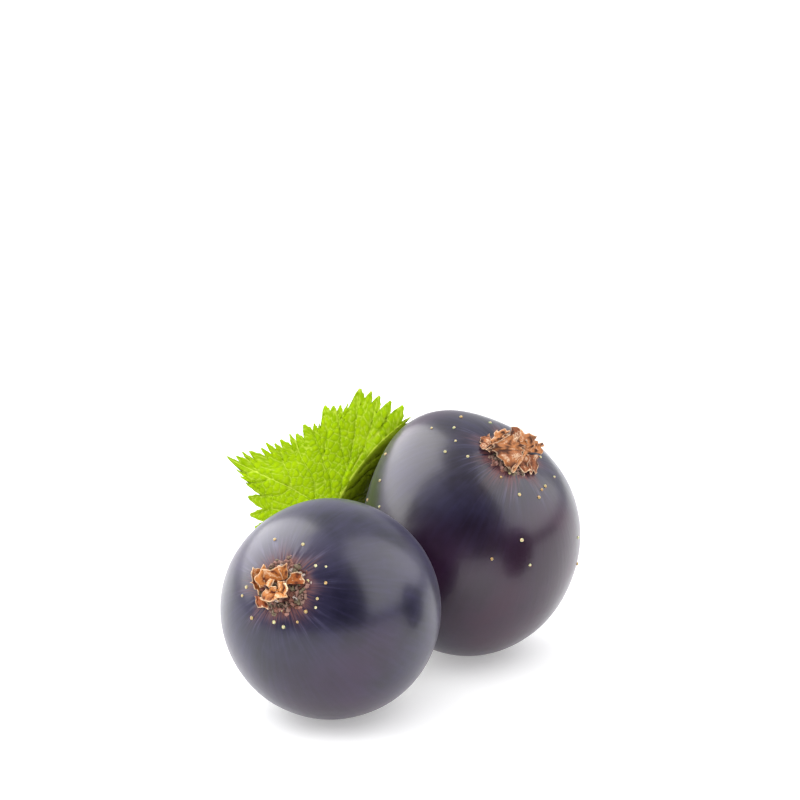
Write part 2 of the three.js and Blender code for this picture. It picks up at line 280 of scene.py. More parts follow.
def creases(points: Array, size: float, seed: int, waves: int = 7) -> Array:
    """Return sharp folds between about 0 and 1: the mean of sine waves' absolute values.

    Args:
        points: places, in the last axis.
        size: the distance between folds.
        seed: the random seed.
        waves: how many sets of folds are laid over each other.

    Returns:
        One value for each place.
    """
    random = np.random.default_rng(seed)
    total = np.zeros(points.shape[:-1])
    for _ in range(waves):
        direction = unit(random.normal(size=points.shape[-1])) * (np.pi / size) * random.uniform(0.6, 1.6)
        total += np.abs(np.sin(points @ direction + random.uniform(0, np.pi)))
    return total / waves


def cells(places: Array, pitch: float, seed: int) -> tuple[Array, Array]:
    """Split places into cells like crumbs or small pillows.

    Cell middles stand on a jittered grid, and are compared with some of the places at a time to
    save memory. The gap is the distance to the second nearest middle less
    that to the nearest, so it is 0 on the line between two cells.

    Args:
        places: places, with two numbers in the last axis.
        pitch: the grid's pitch.
        seed: the random seed.

    Returns:
        The gap, and a random number from 0 to 1 that is one cell's own.
    """
    random = np.random.default_rng(seed)
    spans = [np.arange(places[..., k].min() - pitch, places[..., k].max() + pitch, pitch) for k in range(2)]
    middles = np.stack(np.meshgrid(*spans), axis=-1).reshape(-1, 2)
    middles = middles + random.uniform(-CELL_JITTER, CELL_JITTER, middles.shape) * pitch
    own = random.uniform(0, 1, len(middles))
    rows = places.reshape(-1, 2)
    gap, tone = np.empty(len(rows)), np.empty(len(rows))
    for start in range(0, len(rows), CELL_BATCH):
        part = slice(start, start + CELL_BATCH)
        distance = np.linalg.norm(rows[part, None] - middles[None], axis=-1)
        tone[part] = own[distance.argmin(axis=1)]
        nearest = np.partition(distance, 1, axis=1)
        gap[part] = nearest[:, 1] - nearest[:, 0]
    return gap.reshape(places.shape[:-1]), tone.reshape(places.shape[:-1])


def ease(values: Array, low: float, high: float) -> Array:
    """Return values eased from 0 at low to 1 at high."""
    share = np.clip((values - low) / (high - low), 0, 1)
    return share * share * (3 - 2 * share)


def on_circle(turn: Array) -> Array:
    """Return the points of a circle of radius 1 at these bearings, x and y in the last axis."""
    return np.stack([np.cos(turn), np.sin(turn)], axis=-1)


def rested(points: Array) -> Array:
    """Return points with those below the resting plane raised to it."""
    return np.stack([points[..., 0], points[..., 1], np.maximum(points[..., 2], 0.0)], axis=-1)


def smooth_path(points: Sequence[Sequence[float]], count: int) -> Array:
    """Return evenly spaced points on a centripetal Catmull-Rom curve.

    Between two points the curve is a cubic whose knots are apart by the square root of the
    distance, with the end points mirrored outwards to give the outer knots.

    Args:
        points: the points that the curve passes through.
        count: how many points to return.

    Returns:
        The points, one in each row.
    """
    knots = np.asarray(points, float)
    knots = np.vstack([2 * knots[0] - knots[1], knots, 2 * knots[-1] - knots[-2]])
    dense = []
    share = np.linspace(0, 1, 60, endpoint=False)[:, None]
    for p0, p1, p2, p3 in zip(knots, knots[1:], knots[2:], knots[3:]):
        d1, d2, d3 = (math.sqrt(np.linalg.norm(b - a)) for a, b in ((p0, p1), (p1, p2), (p2, p3)))
        m1 = (p1 - p0) / d1 - (p2 - p0) / (d1 + d2) + (p2 - p1) / d2
        m2 = (p2 - p1) / d2 - (p3 - p1) / (d2 + d3) + (p3 - p2) / d3
        m1, m2 = m1 * d2, m2 * d2
        dense.append((2 * share**3 - 3 * share**2 + 1) * p1 + (share**3 - 2 * share**2 + share) * m1
                     + (3 * share**2 - 2 * share**3) * p2 + (share**3 - share**2) * m2)
    dense = np.vstack([*dense, knots[-2][None]])
    length = np.concatenate([[0], np.cumsum(np.linalg.norm(np.diff(dense, axis=0), axis=1))])
    even = np.linspace(0, length[-1], count)
    return np.stack([np.interp(even, length, dense[:, k]) for k in range(3)], axis=1)


# Meshes


class Surface:
    """Points, faces and point attributes gathered for one piece."""

    def __init__(self) -> None:
        """Start with nothing."""
        self.points: list[Array] = []
        self.faces: list[list[int]] = []
        self.attributes: dict[str, list[Array]] = {}
        self.count = 0

    def add_points(self, points: Array, **attributes: Any) -> Array:
        """Add points.

        Args:
            points: places in millimetres, with x, y and z in the last axis.
            **attributes: a number for each point, or one for all.

        Returns:
            The points' indices, in the shape of the grid.
        """
        shape = points.shape[:-1]
        flat = points.reshape(-1, 3)
        for name, values in attributes.items():
            full = np.broadcast_to(np.asarray(values, float), shape).reshape(-1)
            self.attributes.setdefault(name, []).append(full)
        self.points.append(flat)
        indices = np.arange(self.count, self.count + len(flat)).reshape(shape)
        self.count += len(flat)
        return indices

    def join_grid(self, grid: Array, wrap: bool = False, flip: bool = False) -> None:
        """Join a grid of points with quads.

        Args:
            grid: the points' indices in rows and columns.
            wrap: whether the last column joins the first.
            flip: whether the faces look the other way.
        """
        full = np.hstack([grid, grid[:, :1]]) if wrap else grid
        quads = np.stack([full[:-1, :-1], full[1:, :-1], full[1:, 1:], full[:-1, 1:]], axis=-1)
        quads = quads.reshape(-1, 4)
        self.faces.extend((quads[:, ::-1] if flip else quads).tolist())

    def join_fan(self, ring: Array, tip: int, flip: bool = False) -> None:
        """Close a ring of points with triangles to one point.

        Args:
            ring: the ring's indices.
            tip: the point's index.
            flip: whether the faces look the other way.
        """
        after = np.roll(ring, -1)
        fan = np.stack([np.full_like(ring, tip), ring, after], axis=-1)
        self.faces.extend((fan[:, ::-1] if flip else fan).tolist())

    def write(self, name: str, material: bpy.types.Material) -> bpy.types.Object:
        """Write the mesh, with its faces outward.

        Args:
            name: the object's name.
            material: its finish.

        Returns:
            The object.
        """
        points = np.vstack(self.points) * MM + SHIFT
        mesh = bpy.data.meshes.new(name)
        mesh.from_pydata(points.tolist(), [], self.faces)
        if signed_volume(mesh) < 0:
            mesh.flip_normals()
        mesh.polygons.foreach_set("use_smooth", np.ones(len(mesh.polygons), bool))
        for key, values in self.attributes.items():
            layer = mesh.attributes.new(key, "FLOAT", "POINT")
            layer.data.foreach_set("value", np.concatenate(values).astype(np.float32))
        mesh.materials.append(material)
        mesh.update()
        made = bpy.data.objects.new(name, mesh)
        bpy.context.scene.collection.objects.link(made)
        LOG.info("%s: %d points, %d faces", name, len(points), len(self.faces))
        return made

    def piece(self, name: str, material: bpy.types.Material,
              replaces: Sequence[str] = ()) -> bpy.types.Object:
        """Write the mesh as a piece that rides on the part's body.

        Args:
            name: the piece's name.
            material: its finish.
            replaces: the nodes that it stands for.

        Returns:
            The object.
        """
        made = self.write(name, material)
        if replaces:
            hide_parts(*replaces)
        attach(made, "root")
        return made


def signed_volume(mesh: bpy.types.Mesh) -> float:
    """Return six times a closed mesh's volume, negative if it is inside out.

    Args:
        mesh: the mesh.

    Returns:
        The sum over the mesh's triangles.
    """
    mesh.calc_loop_triangles()
    corners = np.empty(len(mesh.loop_triangles) * 3, int)
    mesh.loop_triangles.foreach_get("vertices", corners)
    places = np.empty(len(mesh.vertices) * 3)
    mesh.vertices.foreach_get("co", places)
    a, b, c = places.reshape(-1, 3)[corners.reshape(-1, 3)].transpose(1, 0, 2)
    return float((a * np.cross(b, c)).sum())


def grid_normals(points: Array) -> Array:
    """Return the unit normals of a grid of points, from the differences along rows and columns."""
    return unit(np.cross(np.gradient(points, axis=0), np.gradient(points, axis=1)) + 1e-12)


# The camera


@dataclass(frozen=True)
class Viewpoint:
    """The photograph's viewpoint, with places given in its 800 by 800 frame."""

    pitch: float = 18.0
    distance: float = 250.0
    focal_pixels: float = 4594.51
    frame_pixels: float = 800.0
    sensor_mm: float = 36.0
    aim_pixel: tuple[float, float] = (330.6, 609.0)
    aim: tuple[float, float, float] = (0.0, 0.0, 5.92)

    @property
    def axes(self) -> tuple[Array, Array, Array]:
        """Return the camera's right, up and forward directions.

        Returns:
            Three unit vectors.
        """
        lean = math.radians(self.pitch)
        return (np.array([1.0, 0, 0]), np.array([0, math.sin(lean), math.cos(lean)]),
                np.array([0, math.cos(lean), -math.sin(lean)]))

    @property
    def place(self) -> Array:
        """Return the camera's place: back from the aim along the ray through the aim's pixel.

        Returns:
            The place, in millimetres.
        """
        right, up, forward = self.axes
        x, y = (np.array(self.aim_pixel) - self.frame_pixels / 2) / self.focal_pixels
        return np.array(self.aim) - self.distance * unit(forward + right * x - up * y)

    def pixels(self, points: Array) -> Array:
        """Project points into the photograph.

        Args:
            points: places in millimetres.

        Returns:
            Their pixels, x and y.
        """
        right, up, forward = self.axes
        away = points - self.place
        depth = away @ forward
        half = self.frame_pixels / 2
        return np.stack([half + self.focal_pixels * (away @ right) / depth,
                         half - self.focal_pixels * (away @ up) / depth], axis=-1)

    def build(self) -> bpy.types.Object:
        """Make the scene's camera.

        Returns:
            The camera.
        """
        right, up, forward = self.axes
        data = bpy.data.cameras.new("camera")
        data.sensor_width = self.sensor_mm
        data.lens = self.focal_pixels * self.sensor_mm / self.frame_pixels
        data.clip_start = 0.01
        made = bpy.data.objects.new("camera", data)
        turn = Matrix(np.stack([right, up, -forward], axis=1).tolist()).to_4x4()
        made.matrix_world = Matrix.Translation(Vector(self.place * MM + SHIFT)) @ turn
        bpy.context.scene.collection.objects.link(made)
        bpy.context.scene.camera = made
        return made


# Finishes


@dataclass(frozen=True)
class BerrySkin:
    """Waxy skin: blue-black under a thin lavender bloom, wine red where the bloom is thin."""

    name: str
    deep: tuple[float, float, float] = (0.005, 0.004, 0.016)
    bloom: tuple[float, float, float] = (0.020, 0.016, 0.052)
    wine: tuple[float, float, float] = (0.034, 0.007, 0.032)
    torn: tuple[float, float, float] = (0.13, 0.042, 0.042)
    wax: tuple[float, float, float] = (0.10, 0.095, 0.17)

    def material(self) -> bpy.types.Material:
        """Lay out the skin's nodes.

        Returns:
            The material.
        """
        shader = Shader(self.name)
        cloud = shader.noise(3.2, 4.0, 0.55).smooth(0.36, 0.66)
        fine = shader.noise(0.35, 3.0, 0.6)
        grain = shader.noise(0.06, 2.0, 0.6)
        lines = shader.streaks(0.32)
        colour = shader.mix(cloud * 0.7 + lines.smooth(0.4, 0.7) * 0.3, self.deep, self.bloom)
        colour = shader.mix(shader.attribute("blush") * (0.55 + 0.45 * cloud), colour, self.wine)
        fringe = shader.attribute("fringe") * shader.streaks(0.16).smooth(0.34, 0.6)
        colour = shader.mix(shader.attribute("wax") * lines.smooth(0.5, 0.72), colour, self.wax)
        colour = shader.mix(fringe, colour, self.torn)
        roughness = 0.26 + 0.08 * cloud + 0.06 * fine + 0.35 * fringe
        height = lines * 0.46 + fine * 0.34 + grain * 0.04
        return shader.surface(Base_Color=colour, Roughness=roughness, Specular_IOR_Level=0.5,
                              Coat_Weight=0.15, Coat_Roughness=0.14, Sheen_Weight=0.09,
                              Sheen_Roughness=0.3, Sheen_Tint=(0.86, 0.84, 1.0),
                              Normal=shader.bump(height, 0.011, 0.9))


@dataclass(frozen=True)
class GlandFinish:
    """The yellow resin of the small round glands."""

    name: str = "resin_yellow"
    pale: tuple[float, float, float] = (0.80, 0.73, 0.40)
    amber: tuple[float, float, float] = (0.60, 0.41, 0.17)

    def material(self) -> bpy.types.Material:
        """Lay out the resin's nodes.

        Returns:
            The material.
        """
        shader = Shader(self.name)
        share = shader.noise(1.4, 1.0).smooth(0.42, 0.62)
        return shader.surface(Base_Color=shader.mix(share, self.pale, self.amber),
                              Roughness=0.3 + 0.1 * share, Subsurface_Weight=0.2,
                              Subsurface_Scale=0.0002)


@dataclass(frozen=True)
class WitheredFlower:
    """Dry, papery brown, each flap in its own tone: painted shade in the folds, a painted highlight on the
    crests, pale along the edges.
    """

    name: str
    # The colour of the painted shade in the folds.
    fold: tuple[float, float, float] = (0.055, 0.014, 0.004)
    copper: tuple[float, float, float] = (0.22, 0.060, 0.018)
    paper: tuple[float, float, float] = (0.48, 0.18, 0.056)
    # Pale for the edges, and a painted highlight on the crests.
    straw: tuple[float, float, float] = (0.84, 0.62, 0.42)

    def material(self) -> bpy.types.Material:
        """Lay out the paper's nodes.

        Returns:
            The material.
        """
        shader = Shader(self.name)
        stain = shader.noise(0.4, 4.0, 0.6)
        fibre = shader.noise(0.07, 3.0, 0.65)
        raised = shader.attribute("raised")
        body = shader.mix((shader.attribute("tone") + stain - 0.5).smooth(0.1, 0.9), self.copper, self.paper)
        # Painted shade: the fold colour darkens the low places of the folds.
        colour = shader.mix((raised + stain - 0.5).smooth(0.2, 0.8), self.fold, body)
        # Painted highlight on the raised crests, and paler edges.
        pale = (raised + fibre * 0.8 - 0.4).smooth(0.84, 1.1) * 0.6 + shader.attribute("edge") * fibre
        colour = shader.mix(pale, colour, self.straw)
        return shader.surface(Base_Color=colour, Roughness=0.55 + 0.3 * stain, Specular_IOR_Level=0.25,
                              Normal=shader.bump(fibre, 0.025, 0.9))


@dataclass(frozen=True)
class ScarCrust:
    """The rough scar: crumbs of maroon, rose, umber, olive and pale grey, with painted shade in the gaps
    between them.
    """

    name: str
    painted_crevice_shade: tuple[float, float, float] = (0.012, 0.006, 0.006)
    tones: Sequence[tuple[float, tuple[float, float, float]]] = (
        (0.0, (0.08, 0.022, 0.020)), (0.25, (0.23, 0.090, 0.060)), (0.5, (0.39, 0.20, 0.165)),
        (0.68, (0.25, 0.155, 0.120)), (0.82, (0.17, 0.145, 0.08)), (0.92, (0.28, 0.20, 0.15)),
        (1.0, (0.62, 0.50, 0.46)),
    )

    def material(self) -> bpy.types.Material:
        """Lay out the crust's nodes.

        Returns:
            The material.
        """
        shader = Shader(self.name)
        crumb = shader.noise(0.12, 4.0, 0.7)
        tone = shader.attribute("tone") + crumb * 0.5 - 0.25
        body = shader.node("ShaderNodeValToRGB", {"stops": self.tones}, {0: tone})
        # Painted shade: low places between the crumbs are darkened to near black.
        shade = (shader.attribute("raised") + crumb * 0.7 - 0.35).smooth(0.14, 0.56)
        return shader.surface(Base_Color=shader.mix(shade, self.painted_crevice_shade, body), Roughness=0.6 + 0.3 * crumb,
                              Specular_IOR_Level=0.35, Normal=shader.bump(crumb, 0.06, 1.0))


@dataclass(frozen=True)
class LeafGreen:
    """Fresh lime green between pale veins, duller underneath, with painted shade on the folded-back half and
    between the pillows.
    """

    name: str = "young_leaf"
    lime: tuple[float, float, float] = (0.36, 0.55, 0.004)
    moss: tuple[float, float, float] = (0.24, 0.41, 0.002)
    vein: tuple[float, float, float] = (0.60, 0.74, 0.075)
    painted_fold_shade: tuple[float, float, float] = (0.070, 0.092, 0.003)
    under: tuple[float, float, float] = (0.28, 0.42, 0.07)

    def material(self) -> bpy.types.Material:
        """Lay out the leaf's nodes.

        Returns:
            The material.
        """
        shader = Shader(self.name)
        cloud = shader.noise(1.6, 3.0, 0.5).smooth(0.35, 0.68)
        fine = shader.noise(0.10, 3.0, 0.6)
        # Painted shade, mixed with random tone: the valleys between the pillows are darker moss.
        shade = (shader.attribute("pucker") * 0.8 + cloud * 0.4 + fine * 0.3 - 0.15).smooth(0.1, 1.0)
        colour = shader.mix(shade, self.moss, self.lime)
        colour = shader.mix(shader.attribute("under") * 0.75, colour, self.under)
        colour = shader.mix(shader.attribute("vein"), colour, self.vein)
        # Painted shade on the half that folds back.
        colour = shader.mix(shader.attribute("shade") * 0.9, colour, self.painted_fold_shade)
        return shader.surface(Base_Color=colour, Roughness=0.5 + 0.16 * fine,
                              Specular_IOR_Level=0.01, Normal=shader.bump(fine, 0.015, 0.7))


@dataclass(frozen=True)
class StalkGreen:
    """Smooth green stalk that reddens where the attribute asks for it."""

    name: str
    green: tuple[float, float, float] = (0.20, 0.34, 0.045)
    pale: tuple[float, float, float] = (0.38, 0.50, 0.13)
    blush: tuple[float, float, float] = (0.22, 0.060, 0.035)

    def material(self) -> bpy.types.Material:
        """Lay out the stalk's nodes.

        Returns:
            The material.
        """
        shader = Shader(self.name)
        streak = shader.noise(0.5, 3.0, 0.6)
        fine = shader.noise(0.1, 2.0, 0.6)
        colour = shader.mix(streak.smooth(0.35, 0.65), self.green, self.pale)
        colour = shader.mix(shader.attribute("blush") * (streak * 0.8 + 0.4), colour, self.blush)
        return shader.surface(Base_Color=colour, Roughness=0.45 + 0.2 * fine,
                              Subsurface_Weight=0.1, Subsurface_Scale=0.0003,
                              Normal=shader.bump(fine, 0.012, 0.8))


@dataclass(frozen=True)
class TwigBark:
    """Thin grey-brown bark, and the pale wood and green rim of its cut ends."""

    name: str = "twig_bark"
    umber: tuple[float, float, float] = (0.10, 0.060, 0.032)
    ash: tuple[float, float, float] = (0.36, 0.29, 0.21)
    wood: tuple[float, float, float] = (0.62, 0.52, 0.32)
    rim: tuple[float, float, float] = (0.16, 0.26, 0.05)
    pith: tuple[float, float, float] = (0.50, 0.38, 0.22)

    def material(self) -> bpy.types.Material:
        """Lay out the bark's nodes.

        Returns:
            The material.
        """
        shader = Shader(self.name)
        flake = shader.noise(0.7, 5.0, 0.65)
        fine = shader.noise(0.12, 3.0, 0.6)
        colour = shader.mix((flake + shader.attribute("lenticel") * 0.5).smooth(0.4, 0.7),
                            self.umber, self.ash)
        across = shader.attribute("across")
        cut = shader.mix(across.smooth(0.2, 0.3), self.pith, self.wood)
        cut = shader.mix(across.smooth(0.76, 0.84), cut, self.rim)
        cut = shader.mix(across.smooth(0.92, 0.96), cut, self.umber)
        colour = shader.mix(shader.attribute("cut"), colour, cut)
        return shader.surface(Base_Color=colour, Roughness=0.65 + 0.25 * fine,
                              Normal=shader.bump(flake * 0.6 + fine * 0.4, 0.05, 0.9))


# Berries


@dataclass(frozen=True)
class Swelling:
    """A place where a berry is fuller or flatter than an ellipsoid."""

    towards: tuple[float, float, float]
    height: float
    spread: float


@dataclass
class Berry:
    """One berry: its skin and its glands. Angles from its flower end are in radians."""

    name: str
    node: str
    centre: tuple[float, float, float]
    long_axis: tuple[float, float, float]
    short_axis: tuple[float, float, float]
    radii: tuple[float, float, float]
    flower_end: tuple[float, float, float]
    stalk_end: tuple[float, float, float]
    skin: BerrySkin
    gland_pixels: Sequence[tuple[float, float]]
    seed: int
    swellings: Sequence[Swelling] = ()
    blush: float = 0.7
    hollows: Sequence[tuple[str, float, float]] = (("flower_end", 0.045, 0.3), ("stalk_end", 0.05, 0.2))
    columns: int = 360
    rings: int = 200
    ripple_height: float = 0.016
    furrow_height: float = 0.05
    furrow_edge: float = 0.26
    furrow_fade: float = 0.12
    fringe_edge: float = 0.27
    fringe_fade: float = 0.058
    wax_angle: float = 0.40
    wax_width: float = 0.12
    wax_most: float = 0.4
    hidden_glands: int = 26
    gland_radius: float = 0.092

    @property
    def frame_axes(self) -> Array:
        """Return the ellipsoid's three axes, one a row."""
        long, short = unit(self.long_axis), unit(self.short_axis)
        return np.stack([long, short, unit(np.cross(long, short))])

    @property
    def scar_axes(self) -> tuple[Array, Array, Array]:
        """Return two directions across the flower end, to the right and up, and the one out.

        Returns:
            Three unit vectors.
        """
        out = unit(self.flower_end)
        right = unit(np.array([1.0, 0, 0]) - out[0] * out)
        return right, np.cross(out, right), out

    def surface(self, directions: Array) -> Array:
        """Return the skin's points.

        A point is the centre plus, along each axis, the radius times the share times the
        direction's part along it. The share is 1 less a bell-shaped hollow at each end, plus a
        bell for each swelling.

        Args:
            directions: unit vectors in the last axis.

        Returns:
            The points, in millimetres.
        """
        share = np.ones(directions.shape[:-1])
        for end, depth, spread in self.hollows:
            share -= depth * np.exp(-(self.angle_from(directions, getattr(self, end)) / spread) ** 2)
        for bump in self.swellings:
            share += bump.height * np.exp(-(self.angle_from(directions, bump.towards) / bump.spread) ** 2)
        along = (directions @ self.frame_axes.T) * np.array(self.radii) * share[..., None]
        return np.array(self.centre) + along @ self.frame_axes

    @staticmethod
    def angle_from(directions: Array, axis: Sequence[float]) -> Array:
        """Return the angles between directions and an axis, in radians."""
        return np.arccos(np.clip(directions @ unit(axis), -1, 1))

    def around(self, turn: Array, angle: Array) -> Array:
        """Return directions from their bearing round the flower end and their angle from it.

        Args:
            turn: the bearing in radians, 0 to the right.
            angle: the angle in radians.

        Returns:
            Unit vectors.
        """
        right, up, out = self.scar_axes
        return (np.cos(angle)[..., None] * out
                + np.sin(angle)[..., None] * (np.cos(turn)[..., None] * right + np.sin(turn)[..., None] * up))

    def over_scar(self, x: Array, y: Array, height: Array) -> Array:
        """Return points above the skin near the flower end.

        Args:
            x: millimetres to the right of the scar's middle.
            y: millimetres up from it.
            height: millimetres out from the skin.

        Returns:
            The points, in millimetres.
        """
        reach = np.hypot(x, y)
        directions = self.around(np.arctan2(y, x), reach / np.mean(self.radii))
        return self.surface(directions) + directions * np.asarray(height)[..., None]

    def build_skin(self) -> bpy.types.Object:
        """Build the skin as rings round the flower end, closer together near it.

        The ring's angle is pi times (0.22 t + 0.78 t squared) for t from 0 to 1. Low ripples and
        furrows that radiate from the scar are added to its height. What would lie below the
        resting plane is pressed flat.

        Returns:
            The object.
        """
        t = np.linspace(0, 1, self.rings + 1)[1:-1]
        angle = np.pi * (0.22 * t + 0.78 * t * t)[:, None]
        turn = np.linspace(0, 2 * np.pi, self.columns, endpoint=False)[None, :]
        angle, turn = np.broadcast_arrays(angle, turn)
        directions = self.around(turn, angle)
        radial = np.stack([np.cos(turn), np.sin(turn), angle * 0.25], axis=-1)
        furrows = creases(radial, 0.14, self.seed + 1, 6)
        near = np.exp(-(np.maximum(angle - self.furrow_edge, 0) / self.furrow_fade) ** 1.3)
        height = self.ripple_height * ripples(directions, 0.8, self.seed + 2)
        height += self.furrow_height * (furrows - 0.55) * near * ease(angle, 0.08, self.furrow_edge)
        points = rested(self.surface(directions) + directions * height[..., None])
        marks = self._marks(directions, turn, angle)
        made = Surface()
        grid = made.add_points(points, **marks)
        made.join_grid(grid, wrap=True)
        for ring, end, flip in ((grid[0], 1.0, True), (grid[-1], -1.0, False)):
            tip = self.surface(unit(self.flower_end)[None] * end)
            made.join_fan(ring, int(made.add_points(tip, **dict.fromkeys(marks, 0.0))[0]), flip)
        return made.piece(self.name + "_skin", self.skin.material(), [self.node])

    def _marks(self, directions: Array, turn: Array, angle: Array) -> dict[str, Array]:
        """Return the numbers that colour the skin, by the names of their attributes.

        The fringe falls off from the scar's rim, further in some places than in others. The wax is
        a bell round a ring outside it. The blush is strongest low on the berry. The streaks'
        coordinates run round the scar and out from it.

        Args:
            directions: the points' directions from the berry's middle.
            turn: their bearings round the flower end.
            angle: their angles from it.

        Returns:
            One array for each attribute.
        """
        spread = 1 + 0.9 * ripples(on_circle(turn), 0.9, self.seed + 3)
        fade = self.fringe_fade * np.maximum(spread, 0.2)
        fringe = np.exp(-(np.maximum(angle - self.fringe_edge, 0) / fade) ** 1.4)
        wax = self.wax_most * np.exp(-((angle - self.wax_angle) / self.wax_width) ** 2)
        low = 0.5 + 0.5 * ripples(directions, 1.6, self.seed + 4) - 0.6 * directions[..., 2]
        return {"fringe": fringe, "wax": wax * np.clip(spread - 0.4, 0, 1),
                "blush": self.blush * ease(low, 0.2, 1.0), "streak_x": np.cos(turn) * 6,
                "streak_y": np.sin(turn) * 6, "streak_z": angle * 0.9}

    def build_glands(self, view: Viewpoint, material: bpy.types.Material) -> bpy.types.Object:
        """Build the glands as small domes: those that the photograph shows and some out of its sight.

        A gland that it shows stands where a close net of directions comes nearest its pixel.

        Args:
            view: the photograph's viewpoint.
            material: their finish.

        Returns:
            The object that holds them all.
        """
        random = np.random.default_rng(self.seed)
        turn, angle = np.meshgrid(np.linspace(0, 2 * np.pi, 700), np.linspace(0.02, np.pi - 0.02, 420))
        sample = self.around(turn, angle).reshape(-1, 3)
        places = self.surface(sample)
        seen = ((places - view.place) * sample).sum(axis=1) < 0
        pixels = view.pixels(places)
        chosen = []
        for pixel in self.gland_pixels:
            distance = np.hypot(*(pixels - np.array(pixel)).T) + np.where(seen, 0, 1e6)
            chosen.append(sample[distance.argmin()])
        while len(chosen) < len(self.gland_pixels) + self.hidden_glands:
            bearing, reach = random.uniform(0, 2 * np.pi), abs(random.normal(0.3, 0.75))
            extra = self.around(np.array(bearing), np.array(min(reach, 2.9)))
            place = self.surface(extra)
            hidden = unit(place - view.place) @ extra > 0.25
            if hidden and place[2] > 0.5:
                chosen.append(extra)
        made = Surface()
        for direction in chosen:
            self._add_gland(made, direction, random)
        return made.piece(self.name + "_glands", material)

    def _add_gland(self, made: Surface, direction: Array, random: np.random.Generator) -> None:
        """Add one gland: a dome of three rings and a tip, its foot just under the skin.

        Args:
            made: the surface that it joins.
            direction: where it stands on the berry.
            random: the source of its size.
        """
        size = self.gland_radius * random.uniform(0.75, 1.2)
        right = unit(np.cross(direction, [0.3, 0.5, 0.8]))
        up = np.cross(direction, right)
        foot = self.surface(direction[None])[0]
        turn = np.linspace(0, 2 * np.pi, 10, endpoint=False)[None, :, None]
        across = np.array([0.6, 1.0, 0.92, 0.55])[:, None, None] * size
        rise = np.array([-0.5, 0.0, 0.45, 0.8])[:, None, None] * size
        rings = foot + across * (np.cos(turn) * right + np.sin(turn) * up) + rise * direction
        grid = made.add_points(rings)
        made.join_grid(grid, wrap=True)
        base, tip = made.add_points(foot + direction * np.array([[-0.5], [0.9]]) * size)
        made.join_fan(grid[0], int(base), True)
        made.join_fan(grid[-1], int(tip))


# Withered flowers


@dataclass(frozen=True)
class Flap:
    """One crumpled flap of a withered flower.

    Its corners are two at the root and two at the tip. Each is a pixel of the photograph, x and y,
    and a height over the skin in millimetres. Its tone runs from 0, dark copper, to 1, pale paper.
    """

    corners: Sequence[tuple[float, float, float]]
    seed: int
    tone: float = 0.6
    crumple: float = 0.10
    bulge: float = 0.0


